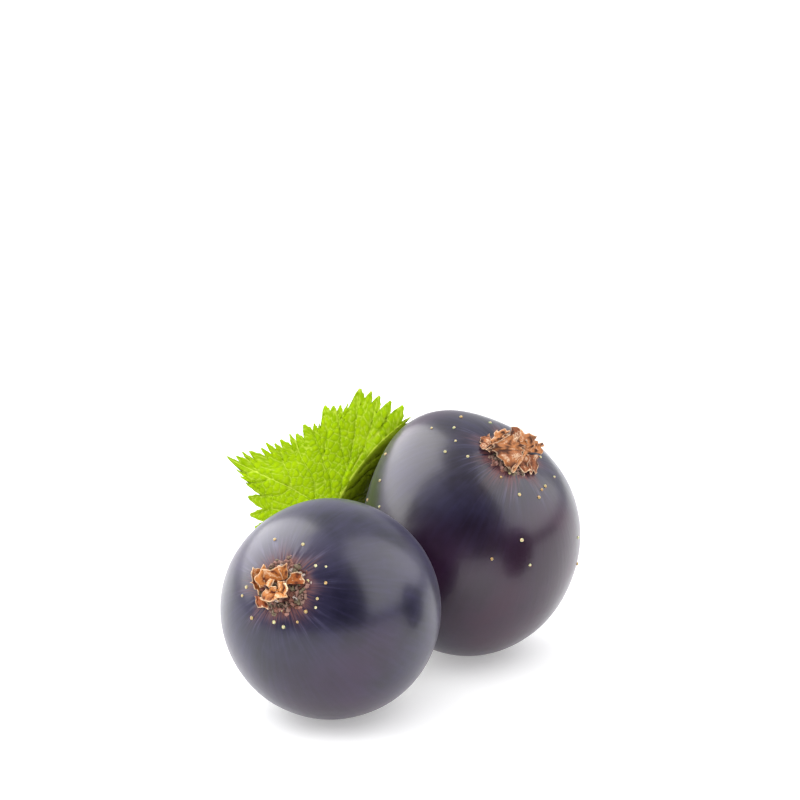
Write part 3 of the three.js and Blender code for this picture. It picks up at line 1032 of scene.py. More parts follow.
@dataclass
class WitheredCalyx:
    """The rough scar on a berry, and the crumpled flaps that stand on it."""

    name: str
    node: str
    berry: Berry
    flaps: Sequence[Flap]
    finish: WitheredFlower
    seed: int
    scar_radius: float = 1.7
    mound: tuple[float, float, float] = (-0.1, 0.2, 0.5)
    mound_spread: float = 0.75
    crumb_pitch: float = 0.3
    grit_pitch: float = 0.13
    rim_dip: float = 0.08
    paper: float = 0.05
    fold_pitch: float = 0.75
    wrinkle_pitch: float = 0.24
    rows: int = 36
    columns: int = 36

    def build(self, view: Viewpoint) -> list[bpy.types.Object]:
        """Build the scar and the flaps, and return both."""
        return [self.build_scar(), self.build_flaps(view)]

    def build_scar(self) -> bpy.types.Object:
        """Build the scar: a disc of crumbs on the skin, with a ragged rim that dips under the skin.

        Crumbs of their own heights, rounded off towards the gaps, carry finer grit. The height falls
        to the dip at the rim. A bell-shaped mound under the flaps, placed right and up by its first
        two numbers and as high as its third, holds them.

        Returns:
            The object.
        """
        radius = np.linspace(0, 1, 81)[1:, None]
        turn = np.linspace(0, 2 * np.pi, 260, endpoint=False)[None, :]
        reach = radius * self.scar_radius * (1 + 0.12 * ripples(on_circle(turn), 0.5, self.seed))
        x, y = reach * np.cos(turn), reach * np.sin(turn)
        flat = np.stack([x, y], axis=-1)
        warped = flat + 0.07 * np.stack([ripples(flat, 0.3, self.seed + k) for k in (1, 2)], axis=-1)
        gap, tone = cells(warped, self.crumb_pitch, self.seed + 3)
        grit = ease(cells(warped, self.grit_pitch, self.seed + 4)[0], 0, 0.06)
        rounded = ease(gap, 0.0, 0.16)
        lumps = 0.5 + 0.5 * ripples(flat, 1.3, self.seed + 5)
        fall = 1 - ease(np.broadcast_to(radius, x.shape), 0.72, 1.0)
        height = (0.03 + (0.06 + 0.24 * tone * lumps) * rounded + 0.05 * grit) * fall
        height -= self.rim_dip * (1 - fall)
        right, up, rise = self.mound
        height += rise * np.exp(-(np.hypot(x - right, y - up) / self.mound_spread) ** 2)
        # raised feeds the crust's painted shade in the gaps.
        raised = np.clip(0.15 + 0.75 * rounded * (0.5 + 0.5 * lumps) + 0.2 * grit, 0, 1)
        own = np.modf(tone * 7.31)[0]
        made = Surface()
        grid = made.add_points(self.berry.over_scar(x, y, height), raised=raised, tone=own)
        made.join_grid(grid, wrap=True)
        for ring, deep, flip in ((grid[0], height[0].mean(), True), (grid[-1], -0.6, False)):
            tip = self.berry.over_scar(np.zeros(1), np.zeros(1), np.full(1, deep))
            made.join_fan(ring, int(made.add_points(tip, raised=0.4, tone=0.3)[0]), flip)
        return made.piece(self.name + "_scar", ScarCrust(self.name + "_crust").material(),
                          [self.node])

    def build_flaps(self, view: Viewpoint) -> bpy.types.Object:
        """Build all the flaps as one piece.

        Args:
            view: the photograph's viewpoint.

        Returns:
            The object.
        """
        made = Surface()
        for flap in self.flaps:
            self._add_flap(made, flap, view)
        return made.piece(self.name + "_sepals", self.finish.material())

    def _locate(self, view: Viewpoint, corner: tuple[float, float, float]) -> Array:
        """Return a corner's place over the scar: right, up and height in millimetres.

        Newton's method moves right and up until the place falls on the corner's pixel.

        Args:
            view: the photograph's viewpoint.
            corner: its pixel, x and y, and its height.

        Returns:
            The three numbers.
        """
        place, step = np.zeros(2), 0.02
        for _ in range(8):
            x = place[0] + np.array([0, step, 0])
            y = place[1] + np.array([0, 0, step])
            here, along, across = view.pixels(self.berry.over_scar(x, y, np.full(3, corner[2])))
            slope = np.stack([along - here, across - here], axis=1) / step
            place = place + np.clip(np.linalg.solve(slope, np.array(corner[:2]) - here), -0.5, 0.5)
        return np.array([*place, corner[2]])

    def _add_flap(self, made: Surface, flap: Flap, view: Viewpoint) -> None:
        """Add one flap: a sheet between its four corners, with a ragged tip and sides.

        A place in it mixes the corners by its shares of the way to the tip and to the right. Folds
        push it in and out, it bulges by a half sine each way, and its two faces are one paper
        thickness apart.

        Args:
            made: the surface that it joins.
            flap: its form.
            view: the photograph's viewpoint.
        """
        near_left, near_right, far_left, far_right = (self._locate(view, c) for c in flap.corners)
        ahead, across = np.meshgrid(np.linspace(0, 1, self.rows), np.linspace(0, 1, self.columns),
                                    indexing="ij")
        long = np.linalg.norm(far_left + far_right - near_left - near_right) / 2
        wide = np.linalg.norm(near_right + far_right - near_left - far_left) / 2
        place = np.stack([ahead * long, across * wide], axis=-1)
        tip = ahead * (1 + 0.10 * ripples(place[..., 1:], 0.8, flap.seed))
        side = across + 0.08 * (2 * across - 1) * ripples(place[..., :1], 0.7, flap.seed + 1)
        tip, side = tip[..., None], side[..., None]
        flat = ((near_left * (1 - side) + near_right * side) * (1 - tip)
                + (far_left * (1 - side) + far_right * side) * tip)
        middle = self.berry.over_scar(flat[..., 0], flat[..., 1], np.maximum(flat[..., 2], 0.02))
        folds = creases(place, self.fold_pitch, flap.seed + 2, 3) - 0.6
        wrinkles = creases(place, self.wrinkle_pitch, flap.seed + 3, 4) - 0.6
        push = flap.crumple * (1.9 * folds + 0.35 * wrinkles)
        push += flap.bulge * np.sin(np.pi * ahead) * np.sin(np.pi * across)
        middle = middle + grid_normals(middle) * push[..., None]
        normal = grid_normals(middle)
        # raised lets the finish paint shade in the folds and a highlight on the crests.
        raised = np.clip(0.60 + 1.2 * folds + 0.5 * wrinkles, 0, 1)
        edge = ease(np.maximum(np.abs(2 * across - 1), ahead), 0.90, 1.0)
        front, back = (made.add_points(middle + half * normal * self.paper / 2, raised=raised,
                                       edge=edge, tone=flap.tone) for half in (1, -1))
        close_sheet(made, front, back)


def close_sheet(made: Surface, front: Array, back: Array) -> None:
    """Join the two faces of a sheet and the strip round its rim.

    Args:
        made: the surface that they belong to.
        front: the front face's indices.
        back: the back face's indices, in the same grid.
    """
    made.join_grid(front)
    made.join_grid(back, flip=True)
    rim_front = np.concatenate([front[0, :-1], front[:-1, -1], front[-1, :0:-1], front[:0:-1, 0]])
    rim_back = np.concatenate([back[0, :-1], back[:-1, -1], back[-1, :0:-1], back[:0:-1, 0]])
    made.join_grid(np.stack([rim_back, rim_front]), wrap=True)


# Leaf


class LeafSide(Enum):
    """The two faces of the blade, with the side of the middle surface that each lies on."""

    UPPER = 1.0
    UNDER = -1.0


@dataclass
class Leaf:
    """The leaf. Its blade is in polar form about its base: degrees from its right, and millimetres."""

    base: tuple[float, float, float] = (0.02, 12.2, 7.27)
    lean: float = 20.0
    rib_start: float = 67.0
    rib_end: float = 50.0
    rib_length: float = 7.3
    fold_angle: float = 72.0
    fold_bend: float = 1.3
    thickness: float = 0.22
    rings: int = 76
    smoothing: float = 9.0
    bow: float = 0.018
    teeth: Sequence[tuple[float, float, float]] = (
        (50.6, 6.9, 0.3), (57.3, 7.2, 0.55), (63.2, 7.1, 0.5), (68.8, 7.11, 0.35),
        (72.9, 7.18, 0.3), (78.5, 7.17, 1.1), (82.6, 6.22, 0.4), (86.7, 6.04, 0.22), (90.5, 6.0, 0.15),
        (95.4, 6.03, 1.1), (98.4, 5.09, 0.2), (102.9, 5.1, 0.2), (109.8, 5.22, 0.5), (116.3, 4.91, 0.3),
        (120.3, 5.1, 0.45), (127.3, 5.1, 0.3), (131.4, 5.1, 0.2), (135, 5.5, 0.5), (139.2, 5.51, 0.3),
        (144.8, 5.94, 0.3), (147.3, 6.25, 0.3), (150.7, 6.42, 0.2), (153, 6.93, 1.0),
        (155.6, 6.09, 0.55), (158.3, 5.72, 0.65), (162.3, 5.27, 0.65), (170.8, 4.98, 0.6),
        (182.7, 4.81, 0.5), (192, 4.6, 0.4), (201.5, 4.25, 0.4), (211.5, 3.65, 0.35), (222, 2.8, 0.3),
    )
    lobe_tip: float = 153.0
    steepest_step: float = 0.9
    least_turn: float = 0.9
    sinus: tuple[float, float] = (239.0, 1.2)
    veins: Sequence[tuple[float, Sequence[tuple[float, float]]]] = (
        (0.10, ((0, 0), (-0.75, 0.36), (-1.48, 0.74), (-2.44, 1.31), (-4.2, 2.1), (-6.02, 3.01))),
        (0.07, ((-2.44, 1.31), (-2.9, 0.98), (-3.5, 0.84), (-4.77, 0.8))),
        (0.06, ((-3.63, 1.82), (-4.09, 1.62), (-4.94, 1.59))),
        (0.06, ((-4.5, 2.24), (-5.0, 2.15), (-5.6, 2.3))),
        (0.07, ((-2.44, 1.31), (-2.46, 1.87), (-2.9, 2.78), (-3.15, 4.1))),
        (0.05, ((-3.4, 1.72), (-3.6, 2.3), (-4.1, 3.2))),
        (0.05, ((-4.3, 2.15), (-4.6, 2.6), (-5.0, 3.0))),
        (0.07, ((-1.05, 0.52), (-1.08, 1.2), (-1.12, 1.76), (-1.42, 2.33), (-1.93, 3.18), (-2.3, 4.3))),
        (0.06, ((0.05, 0.15), (-0.12, 0.91), (-0.23, 1.87), (-0.51, 2.61), (-0.8, 3.35), (-1.3, 4.9))),
        (0.05, ((-0.62, 2.9), (-0.5, 3.6), (-0.4, 4.6), (-0.62, 5.8))),
        (0.07, ((0.38, 1.0), (0.52, 1.9), (0.95, 3.0), (1.22, 4.6), (1.35, 6.9))),
        (0.06, ((1.0, 2.3), (1.6, 3.3), (2.1, 4.7), (2.5, 6.6))),
        (0.05, ((1.75, 3.45), (2.4, 4.3), (3.0, 5.2), (3.4, 6.2))),
        (0.05, ((0.7, 2.45), (0.42, 3.6), (0.3, 5.0), (0.2, 6.0))),
        (0.06, ((0, 0), (-0.9, -0.1), (-2.2, 0.0), (-3.6, 0.1), (-4.7, -0.3))),
        (0.05, ((0, 0), (-0.8, -0.6), (-1.9, -1.4), (-2.9, -2.2))),
    )
    rung_bearing: float = 62.0
    rung_stretch: float = 1.55
    cell_pitch: float = 0.32
    cell_seed: int = 41
    pillow_height: float = 0.038
    valley_depth: float = 0.07
    wave_height: float = 0.06
    petiole: Sequence[tuple[float, float, float]] = (
        (0.1, 12.45, 7.65), (-0.05, 12.8, 6.4), (-0.75, 14.0, 4.0), (-1.5, 15.6, 2.2), (-1.95, 17.0, 1.62),
    )

    def rib_angle(self, reach: Array) -> Array:
        """Return the midrib's angle in degrees at a distance from the base."""
        return self.rib_start + (self.rib_end - self.rib_start) * reach / self.rib_length

    def margin(self) -> tuple[Array, Array]:
        """Return the whole margin: angles from the midrib, and reaches.

        Each tooth is a tip and a notch after it, and the flanks between them bulge a little and carry
        two small teeth each. Every point lies further round than the one before it. The right half
        mirrors the left one.

        Returns:
            Both arrays, in degrees and millimetres.
        """
        corners = []
        following = [*self.teeth[1:], (*self.sinus, 0.0)]
        for (angle, reach, depth), after in zip(self.teeth, following):
            share = 0.25 if angle < self.lobe_tip else 0.62
            notch = min(reach, after[1] + self.steepest_step) - depth * 1.35 - 0.08
            corners += [(angle, reach), (angle + (after[0] - angle) * share, notch)]
        corners.append(self.sinus)
        corners[0] = (self.rib_angle(np.array(corners[0][1])), corners[0][1])
        angle, reach = np.array(corners, float).T
        order = np.arange(len(angle))
        least = order * self.least_turn
        relative = np.maximum.accumulate(angle - self.rib_angle(reach) - least) + least
        dense = np.arange(0, len(angle) - 1 + 1e-9, 1 / 4)
        bulge = 0.05 * np.sin(np.pi * (dense % 1)) + 0.08 * np.abs(np.sin(2 * np.pi * dense))
        relative, reach = np.interp(dense, order, relative), np.interp(dense, order, reach) + bulge
        return (np.concatenate([-relative[:0:-1], relative]), np.concatenate([reach[:0:-1], reach]))

    def plane(self, angle: Array, reach: Array) -> Array:
        """Return places in the flat blade, with both halves laid on the left one."""
        full = np.radians(self.rib_angle(reach) + np.abs(angle))
        return np.stack([reach * np.cos(full), reach * np.sin(full)], axis=-1)

    def blade(self, angle: Array, reach: Array) -> Array:
        """Return the blade's middle surface.

        The right half folds back round an arc of the fold's bend and then runs straight, and the
        whole blade bows back by the bow times the reach squared plus a low wave.

        Args:
            angle: degrees from the midrib, positive to the left.
            reach: millimetres from the base.

        Returns:
            The points, in millimetres.
        """
        rib = np.radians(self.rib_angle(reach))
        aside = -reach * np.sin(np.radians(angle))
        full = math.radians(self.fold_angle)
        radius = self.fold_bend / full
        turned = np.clip(aside, 0, self.fold_bend) / radius
        rest = np.maximum(aside - self.fold_bend, 0)
        sideways = np.where(aside > 0, radius * np.sin(turned) + rest * math.cos(full), aside)
        back = np.where(aside > 0, radius * (1 - np.cos(turned)) + rest * math.sin(full), 0)
        ahead = reach * np.cos(np.radians(angle))
        x = ahead * np.cos(rib) + sideways * np.sin(rib)
        y = ahead * np.sin(rib) - sideways * np.cos(rib)
        back = back + self.bow * reach**2 + 0.1 * np.sin(np.radians(angle) * 6) * (reach / 6) ** 2
        lean = math.radians(self.lean)
        up = np.array([0, math.sin(lean), math.cos(lean)])
        away = np.array([0, math.cos(lean), -math.sin(lean)])
        return (np.array(self.base) + x[..., None] * np.array([1.0, 0, 0])
                + y[..., None] * up + back[..., None] * away)

    def vein_distance(self, places: Array) -> tuple[Array, Array]:
        """Return how deep in a vein each place is, and how near one it is.

        Args:
            places: places in the flat blade.

        Returns:
            A mask from 0 to 1 that is 1 on a vein, and a wider one for the valley beside it.
        """
        mask = np.zeros(places.shape[:-1])
        valley = np.zeros(places.shape[:-1])
        reach = np.linspace(0, self.rib_length, 12)
        rib = self.plane(np.zeros_like(reach), reach)
        for width, line in [(0.12, rib), *self.veins]:
            corners = np.asarray(line, float)
            for k, (a, b) in enumerate(zip(corners, corners[1:])):
                taper = 1 - 0.5 * k / (len(corners) - 1)
                along = np.clip(((places - a) @ (b - a)) / ((b - a) @ (b - a)), 0, 1)
                distance = np.linalg.norm(places - a - along[..., None] * (b - a), axis=-1)
                mask = np.maximum(mask, 1 - ease(distance, 0.1 * width * taper, 0.8 * width * taper))
                valley = np.maximum(valley, 1 - ease(distance, 0.0, 2.6 * width))
        return mask, valley

    def relief(self, flat: Array, reach: Array, ring: Array) -> tuple[Array, dict[str, Array]]:
        """Return the blade's relief, and the masks for its colours.

        Pillows longer than they are wide stand between sunken veins, lower at the rim and at the
        base, and a low wave runs through the blade.

        Args:
            flat: places in the flat blade.
            reach: millimetres from the base.
            ring: the rings' shares of the way out, from 0 to 1.

        Returns:
            The height in millimetres, and the masks by the names of their attributes.
        """
        vein, valley = self.vein_distance(flat)
        turn = math.radians(self.rung_bearing)
        cosine, sine = math.cos(turn), math.sin(turn)
        squeeze = np.array([[cosine / self.rung_stretch, -sine], [sine / self.rung_stretch, cosine]])
        gap, tone = cells(flat @ squeeze, self.cell_pitch, self.cell_seed)
        pillow = ease(gap, 0.0, 0.2) * (0.6 + 0.4 * tone)
        net = (1 - ease(gap, 0.0, 0.06)) * 0.6
        inner = ease(reach, 0.1, 1.2) * (1 - 0.6 * ease(ring, 0.93, 1.0))
        height = (self.pillow_height * (pillow - 0.5) - self.valley_depth * valley) * inner
        height += self.wave_height * ripples(flat, 2.6, 5) * ease(reach, 0.5, 3.0)
        return height, {"vein": np.clip(np.maximum(vein, net * (1 - valley * 0.4)), 0, 1),
                        "pucker": pillow * (1 - 0.5 * valley)}

    def build(self) -> list[bpy.types.Object]:
        """Build the blade and the leaf's stalk.

        The rings grow from a smooth one near the base to the toothed margin, as the sixth power of
        the share of the way out.

        Returns:
            Both pieces.
        """
        angle, reach = self.margin()
        near = np.abs(angle[:, None] - angle[None]) < self.smoothing
        evened = np.minimum(0.96 * (near * reach).sum(axis=1) / near.sum(axis=1), 1.12 * reach)
        ring = np.linspace(0, 1, self.rings + 1)[1:, None] ** 0.8
        reach = ring * (evened + (reach - evened) * ring**6)
        angle = np.broadcast_to(angle, reach.shape)
        height, masks = self.relief(self.plane(angle, reach), reach, ring)
        middle = self.blade(angle, reach)
        middle = middle + grid_normals(middle) * height[..., None]
        normal = grid_normals(middle)
        # Painted shade: darkens the right half, which folds back, from the midrib out.
        masks["shade"] = ease(-reach * np.sin(np.radians(angle)), -0.09, 0.16)
        thickness = self.thickness * (1 - 0.55 * ring)[..., None]
        made = Surface()
        sheets = {}
        for side in LeafSide:
            under = float(side is LeafSide.UNDER)
            sheets[side] = made.add_points(middle + normal * side.value * thickness / 2, under=under, **masks)
        close_sheet(made, sheets[LeafSide.UPPER], sheets[LeafSide.UNDER])
        self._close_base(made, sheets, normal)
        blade = made.piece("leaf_blade", LeafGreen().material(), ["leaf"])
        stalk = Stalk("leaf_stalk", self.petiole, (0.33, 0.42), 11, blush=(0.1, 0.5), groove=0.22)
        return [blade, stalk.build("green_stalk", ["leaf"])]

    def _close_base(self, made: Surface, sheets: dict[LeafSide, Array], normal: Array) -> None:
        """Fill the blade's small hole at its base with a fan on each side.

        Args:
            made: the surface that they join.
            sheets: the indices of the two faces.
            normal: the blade's normals.
        """
        for side, grid in sheets.items():
            place = np.array([self.base]) + normal[0].mean(axis=0) * side.value * self.thickness / 2
            marks = {"vein": 1.0, "pucker": 0.0, "under": float(side is LeafSide.UNDER), "shade": 0.0}
            tip, ring = int(made.add_points(place, **marks)[0]), grid[0]
            fan = np.stack([np.full(len(ring) - 1, tip), ring[:-1], ring[1:]], axis=-1)
            made.faces.extend((fan if side is LeafSide.UPPER else fan[:, ::-1]).tolist())


# Stalks and twig


@dataclass(frozen=True)
class Tube:
    """A tube's grid, with a row for each step along its line and a column for each side."""

    line: Array
    ahead: Array
    share: Array
    turn: Array
    around: Array

    @classmethod
    def along(cls, path: Sequence[Sequence[float]], steps: int, sides: int,
              guide: Sequence[float]) -> "Tube":
        """Return the tube along a path.

        Args:
            path: the points that its line passes through.
            steps: how many rings it has.
            sides: how many points a ring has.
            guide: a direction that the line never takes, from which the turns are counted.

        Returns:
            The tube.
        """
        line = smooth_path(path, steps)
        ahead = unit(np.gradient(line, axis=0))
        side = unit(np.cross(ahead, guide))
        up = np.cross(side, ahead)
        turn = np.linspace(0, 2 * np.pi, sides, endpoint=False)[None, :]
        around = np.cos(turn)[..., None] * side[:, None] + np.sin(turn)[..., None] * up[:, None]
        return cls(line, ahead, np.linspace(0, 1, steps)[:, None], turn, around)

    def places(self, radius: Array) -> Array:
        """Return the grid's points at these distances from the line."""
        return self.line[:, None] + self.around * radius[..., None]

    def drawn_out(self, rate: float) -> Array:
        """Return the grid's places for noise, drawn out along the tube by this rate."""
        parts = np.broadcast_arrays(np.cos(self.turn), np.sin(self.turn), self.share * rate)
        return np.stack(parts, axis=-1)


@dataclass
class Stalk:
    """A round stalk along a smooth line."""

    name: str
    path: Sequence[tuple[float, float, float]]
    radii: tuple[float, float]
    seed: int
    blush: tuple[float, float] = (0.0, 0.0)
    groove: float = 0.0
    flare: float = 0.0
    sides: int = 40
    steps: int = 130

    def add_to(self, made: Surface) -> None:
        """Add the stalk to a surface.

        Round a point of the line, the radius eases from one end's to the other's, swells by the
        flare at the last tenth, and has low ripples and a lengthwise groove on top.

        Args:
            made: the surface that it joins.
        """
        tube = Tube.along(self.path, self.steps, self.sides, (0.31, 0.2, 0.93))
        dent = self.groove * np.exp(-((tube.turn - 1.6) / 0.4) ** 2)
        radius = self.radii[0] + (self.radii[1] - self.radii[0]) * tube.share
        radius = radius * (1 + self.flare * ease(tube.share, 0.88, 1.0) - dent)
        rough = ripples(tube.places(radius), 1.1, self.seed)
        lines = ripples(tube.drawn_out(1.5), 0.6, self.seed + 1)
        radius = radius * (1 + 0.035 * rough + 0.03 * lines)
        blush = self.blush[0] + (self.blush[1] - self.blush[0]) * tube.share
        grid = made.add_points(rested(tube.places(radius)), blush=np.broadcast_to(blush, radius.shape))
        made.join_grid(grid, wrap=True)
        ends = made.add_points(tube.line[[0, -1]], blush=np.array(self.blush))
        made.join_fan(grid[0], int(ends[0]), True)
        made.join_fan(grid[-1], int(ends[1]))

    def build(self, slot: str, replaces: Sequence[str]) -> bpy.types.Object:
        """Build the stalk as a piece of its own.

        Args:
            slot: not used.
            replaces: the nodes that it stands for.

        Returns:
            The object.
        """
        made = Surface()
        self.add_to(made)
        return made.piece(self.name, StalkGreen(self.name + "_green").material(), replaces)


@dataclass
class FruitStem:
    """The stem that both berries hang from: a main stem and one short stalk to each berry."""

    fork: tuple[float, float, float] = (0.9, 12.8, 0.47)
    stalks: list[Stalk] = field(default_factory=list)

    def __post_init__(self) -> None:
        """Lay out the three stalks."""
        main = ((-1.24, 17.05, 0.6), (-0.85, 15.6, 0.58), (-0.1, 14.0, 0.54), self.fork)
        front = (self.fork, (1.5, 10.6, 0.45), (2.35, 8.3, 0.5), (3.1, 6.3, 1.0), (3.3, 5.2, 1.95),
                 (2.55, 4.1, 2.75))
        back = (self.fork, (1.7, 13.5, 0.56), (2.6, 13.85, 0.98), (3.35, 13.35, 1.75), (4.2, 12.75, 2.55))
        self.stalks = [
            Stalk("main", main, (0.5, 0.46), 3, (0.5, 0.15)),
            Stalk("front", front, (0.44, 0.37), 5, (0.15, 0.9), flare=0.25),
            Stalk("back", back, (0.44, 0.37), 7, (0.15, 0.9), flare=0.25),
        ]

    def build(self) -> bpy.types.Object:
        """Build the stalks as one piece.

        Returns:
            The object.
        """
        made = Surface()
        for stalk in self.stalks:
            stalk.add_to(made)
        return made.piece("fruit_stem_skin", StalkGreen("fruit_stem_green").material(),
                          ["fruit_stem"])


@dataclass
class Twig:
    """The short cut twig, with corky spots on its bark."""

    path: Sequence[tuple[float, float, float]] = (
        (-1.5, 17.1, 1.06), (-2.1, 19.2, 1.04), (-2.5, 21.6, 1.0),
    )
    radii: tuple[float, float] = (1.12, 1.08)
    sides: int = 120
    steps: int = 150
    spots: int = 26

    def build(self) -> bpy.types.Object:
        """Build the bark and the two cut ends as one piece.

        The radius has lengthwise ridges, low ripples and raised oval spots on top. Rings step in
        to the middle at each end, with a little unevenness for the cut wood.

        Returns:
            The object.
        """
        tube = Tube.along(self.path, self.steps, self.sides, (0.0, 0.0, 1.0))
        taper = self.radii[0] + (self.radii[1] - self.radii[0]) * tube.share
        ridge = creases(tube.drawn_out(0.7), 0.3, 3, 5)
        spots = self.lenticels(tube.share, tube.turn)
        radius = taper * 0.98 * np.ones_like(tube.turn) + 0.05 * (ridge - 0.55)
        radius = radius + 0.02 * ripples(tube.line[:, None] + tube.around, 0.8, 9) + 0.05 * spots
        points = rested(tube.places(radius))
        made = Surface()
        bark = made.add_points(points, lenticel=spots, cut=0.0, across=1.0)
        made.join_grid(bark, wrap=True)
        for end, flip in ((0, True), (-1, False)):
            self._add_cut(made, bark[end], points[end], tube.line[end], tube.ahead[end], flip)
        return made.piece("twig_wood", TwigBark().material(), ["twig"])

    def lenticels(self, t: Array, turn: Array) -> Array:
        """Return the corky spots' heights, from 0 to 1.

        Args:
            t: places along the twig, from 0 to 1.
            turn: bearings round it in radians.

        Returns:
            One height for each place.
        """
        random = np.random.default_rng(17)
        height = np.zeros(np.broadcast_shapes(t.shape, turn.shape))
        for _ in range(self.spots):
            place, bearing = random.uniform(0.05, 0.95), random.uniform(0, 2 * np.pi)
            long, wide = random.uniform(0.025, 0.05), random.uniform(0.07, 0.13)
            off = np.angle(np.exp(1j * (turn - bearing)))
            height = np.maximum(height, 1 - ease(np.hypot((t - place) / long, off / wide), 0.5, 1.0))
        return height

    @staticmethod
    def _add_cut(made: Surface, rim: Array, rim_points: Array, middle: Array, ahead: Array,
                 flip: bool) -> None:
        """Add one cut end: rings from the bark in to the middle.

        Args:
            made: the surface that it joins.
            rim: the bark's last ring of indices.
            rim_points: that ring's places.
            middle: the line's end.
            ahead: the line's direction there.
            flip: whether this is the first end.
        """
        across = np.linspace(1, 0, 14)[1:-1][:, None]
        places = middle + (rim_points[None] - middle) * across[..., None]
        sign = -1.0 if flip else 1.0
        rough = 0.02 * ripples(places, 0.5, 31) + 0.03 * ease(across, 0.9, 0.7)
        places = places + (sign * rough)[..., None] * ahead
        grid = made.add_points(places, lenticel=0.0, cut=1.0, across=np.broadcast_to(across, rough.shape))
        made.join_grid(np.vstack([rim[None], grid]), wrap=True, flip=flip)
        tip = made.add_points(middle[None], lenticel=0.0, cut=1.0, across=0.0)
        made.join_fan(grid[-1], int(tip[0]), flip)


# Studio


@dataclass(frozen=True)
class Panel:
    """One soft light on matt surfaces: a rectangle that faces the berries, placed in degrees."""

    name: str
    bearing: float
    height: float
    size: tuple[float, float]
    radiance: float
    distance: float = 0.55

    def build(self, aim: Array) -> None:
        """Make the light.

        Args:
            aim: the point that it faces, in metres.
        """
        data = bpy.data.lights.new(self.name, "AREA")
        data.shape = "RECTANGLE"
        data.size, data.size_y = self.size
        data.energy = self.radiance * math.pi * self.size[0] * self.size[1]
        made = bpy.data.objects.new(self.name, data)
        bearing, height = math.radians(self.bearing), math.radians(self.height)
        level = Vector((math.sin(bearing), math.cos(bearing), 0))
        direction = level * math.cos(height) + Vector((0, 0, math.sin(height)))
        across = Vector((-level.y, level.x, 0))
        turn = Matrix((across, direction.cross(across), direction)).transposed()
        made.matrix_world = Matrix.Translation(Vector(aim) + direction * self.distance) @ turn.to_4x4()
        made.visible_glossy = False
        bpy.context.scene.collection.objects.link(made)


@dataclass(frozen=True)
class Reflector:
    """A softly edged glowing patch of a wide ball round the berries, which only shiny skin mirrors."""

    name: str
    bearings: tuple[float, float]
    heights: tuple[float, float]
    radiance: float
    soft: float = 7.0
    distance: float = 500.0

    def build(self, aim: Array) -> None:
        """Make the patch.

        Args:
            aim: the ball's middle, in millimetres.
        """
        bearing, height = np.meshgrid(np.linspace(*self.bearings, 60), np.linspace(*self.heights, 45))
        inset = np.minimum(np.minimum(bearing - self.bearings[0], self.bearings[1] - bearing),
                           np.minimum(height - self.heights[0], self.heights[1] - height))
        bearing, height = np.radians(bearing), np.radians(height)
        towards = np.stack([np.cos(height) * np.sin(bearing), np.cos(height) * np.cos(bearing),
                            np.sin(height)], axis=-1)
        made = Surface()
        made.join_grid(made.add_points(aim + towards * self.distance, glow=ease(inset, 0, self.soft)))
        shader = Shader(self.name + "_glow")
        glow = shader.mix(shader.attribute("glow"), (0.0, 0.0, 0.0), (1.0, 0.99, 1.0))
        patch = made.write(self.name, shader.surface(Base_Color=(0.0, 0.0, 0.0), Emission_Color=glow,
                                                     Emission_Strength=self.radiance))
        only_mirrored(patch)


def only_mirrored(made: bpy.types.Object) -> None:
    """Let only reflections see an object of the studio.

    Args:
        made: the object.
    """
    made.visible_camera = False
    made.visible_shadow = False
    made.visible_diffuse = False


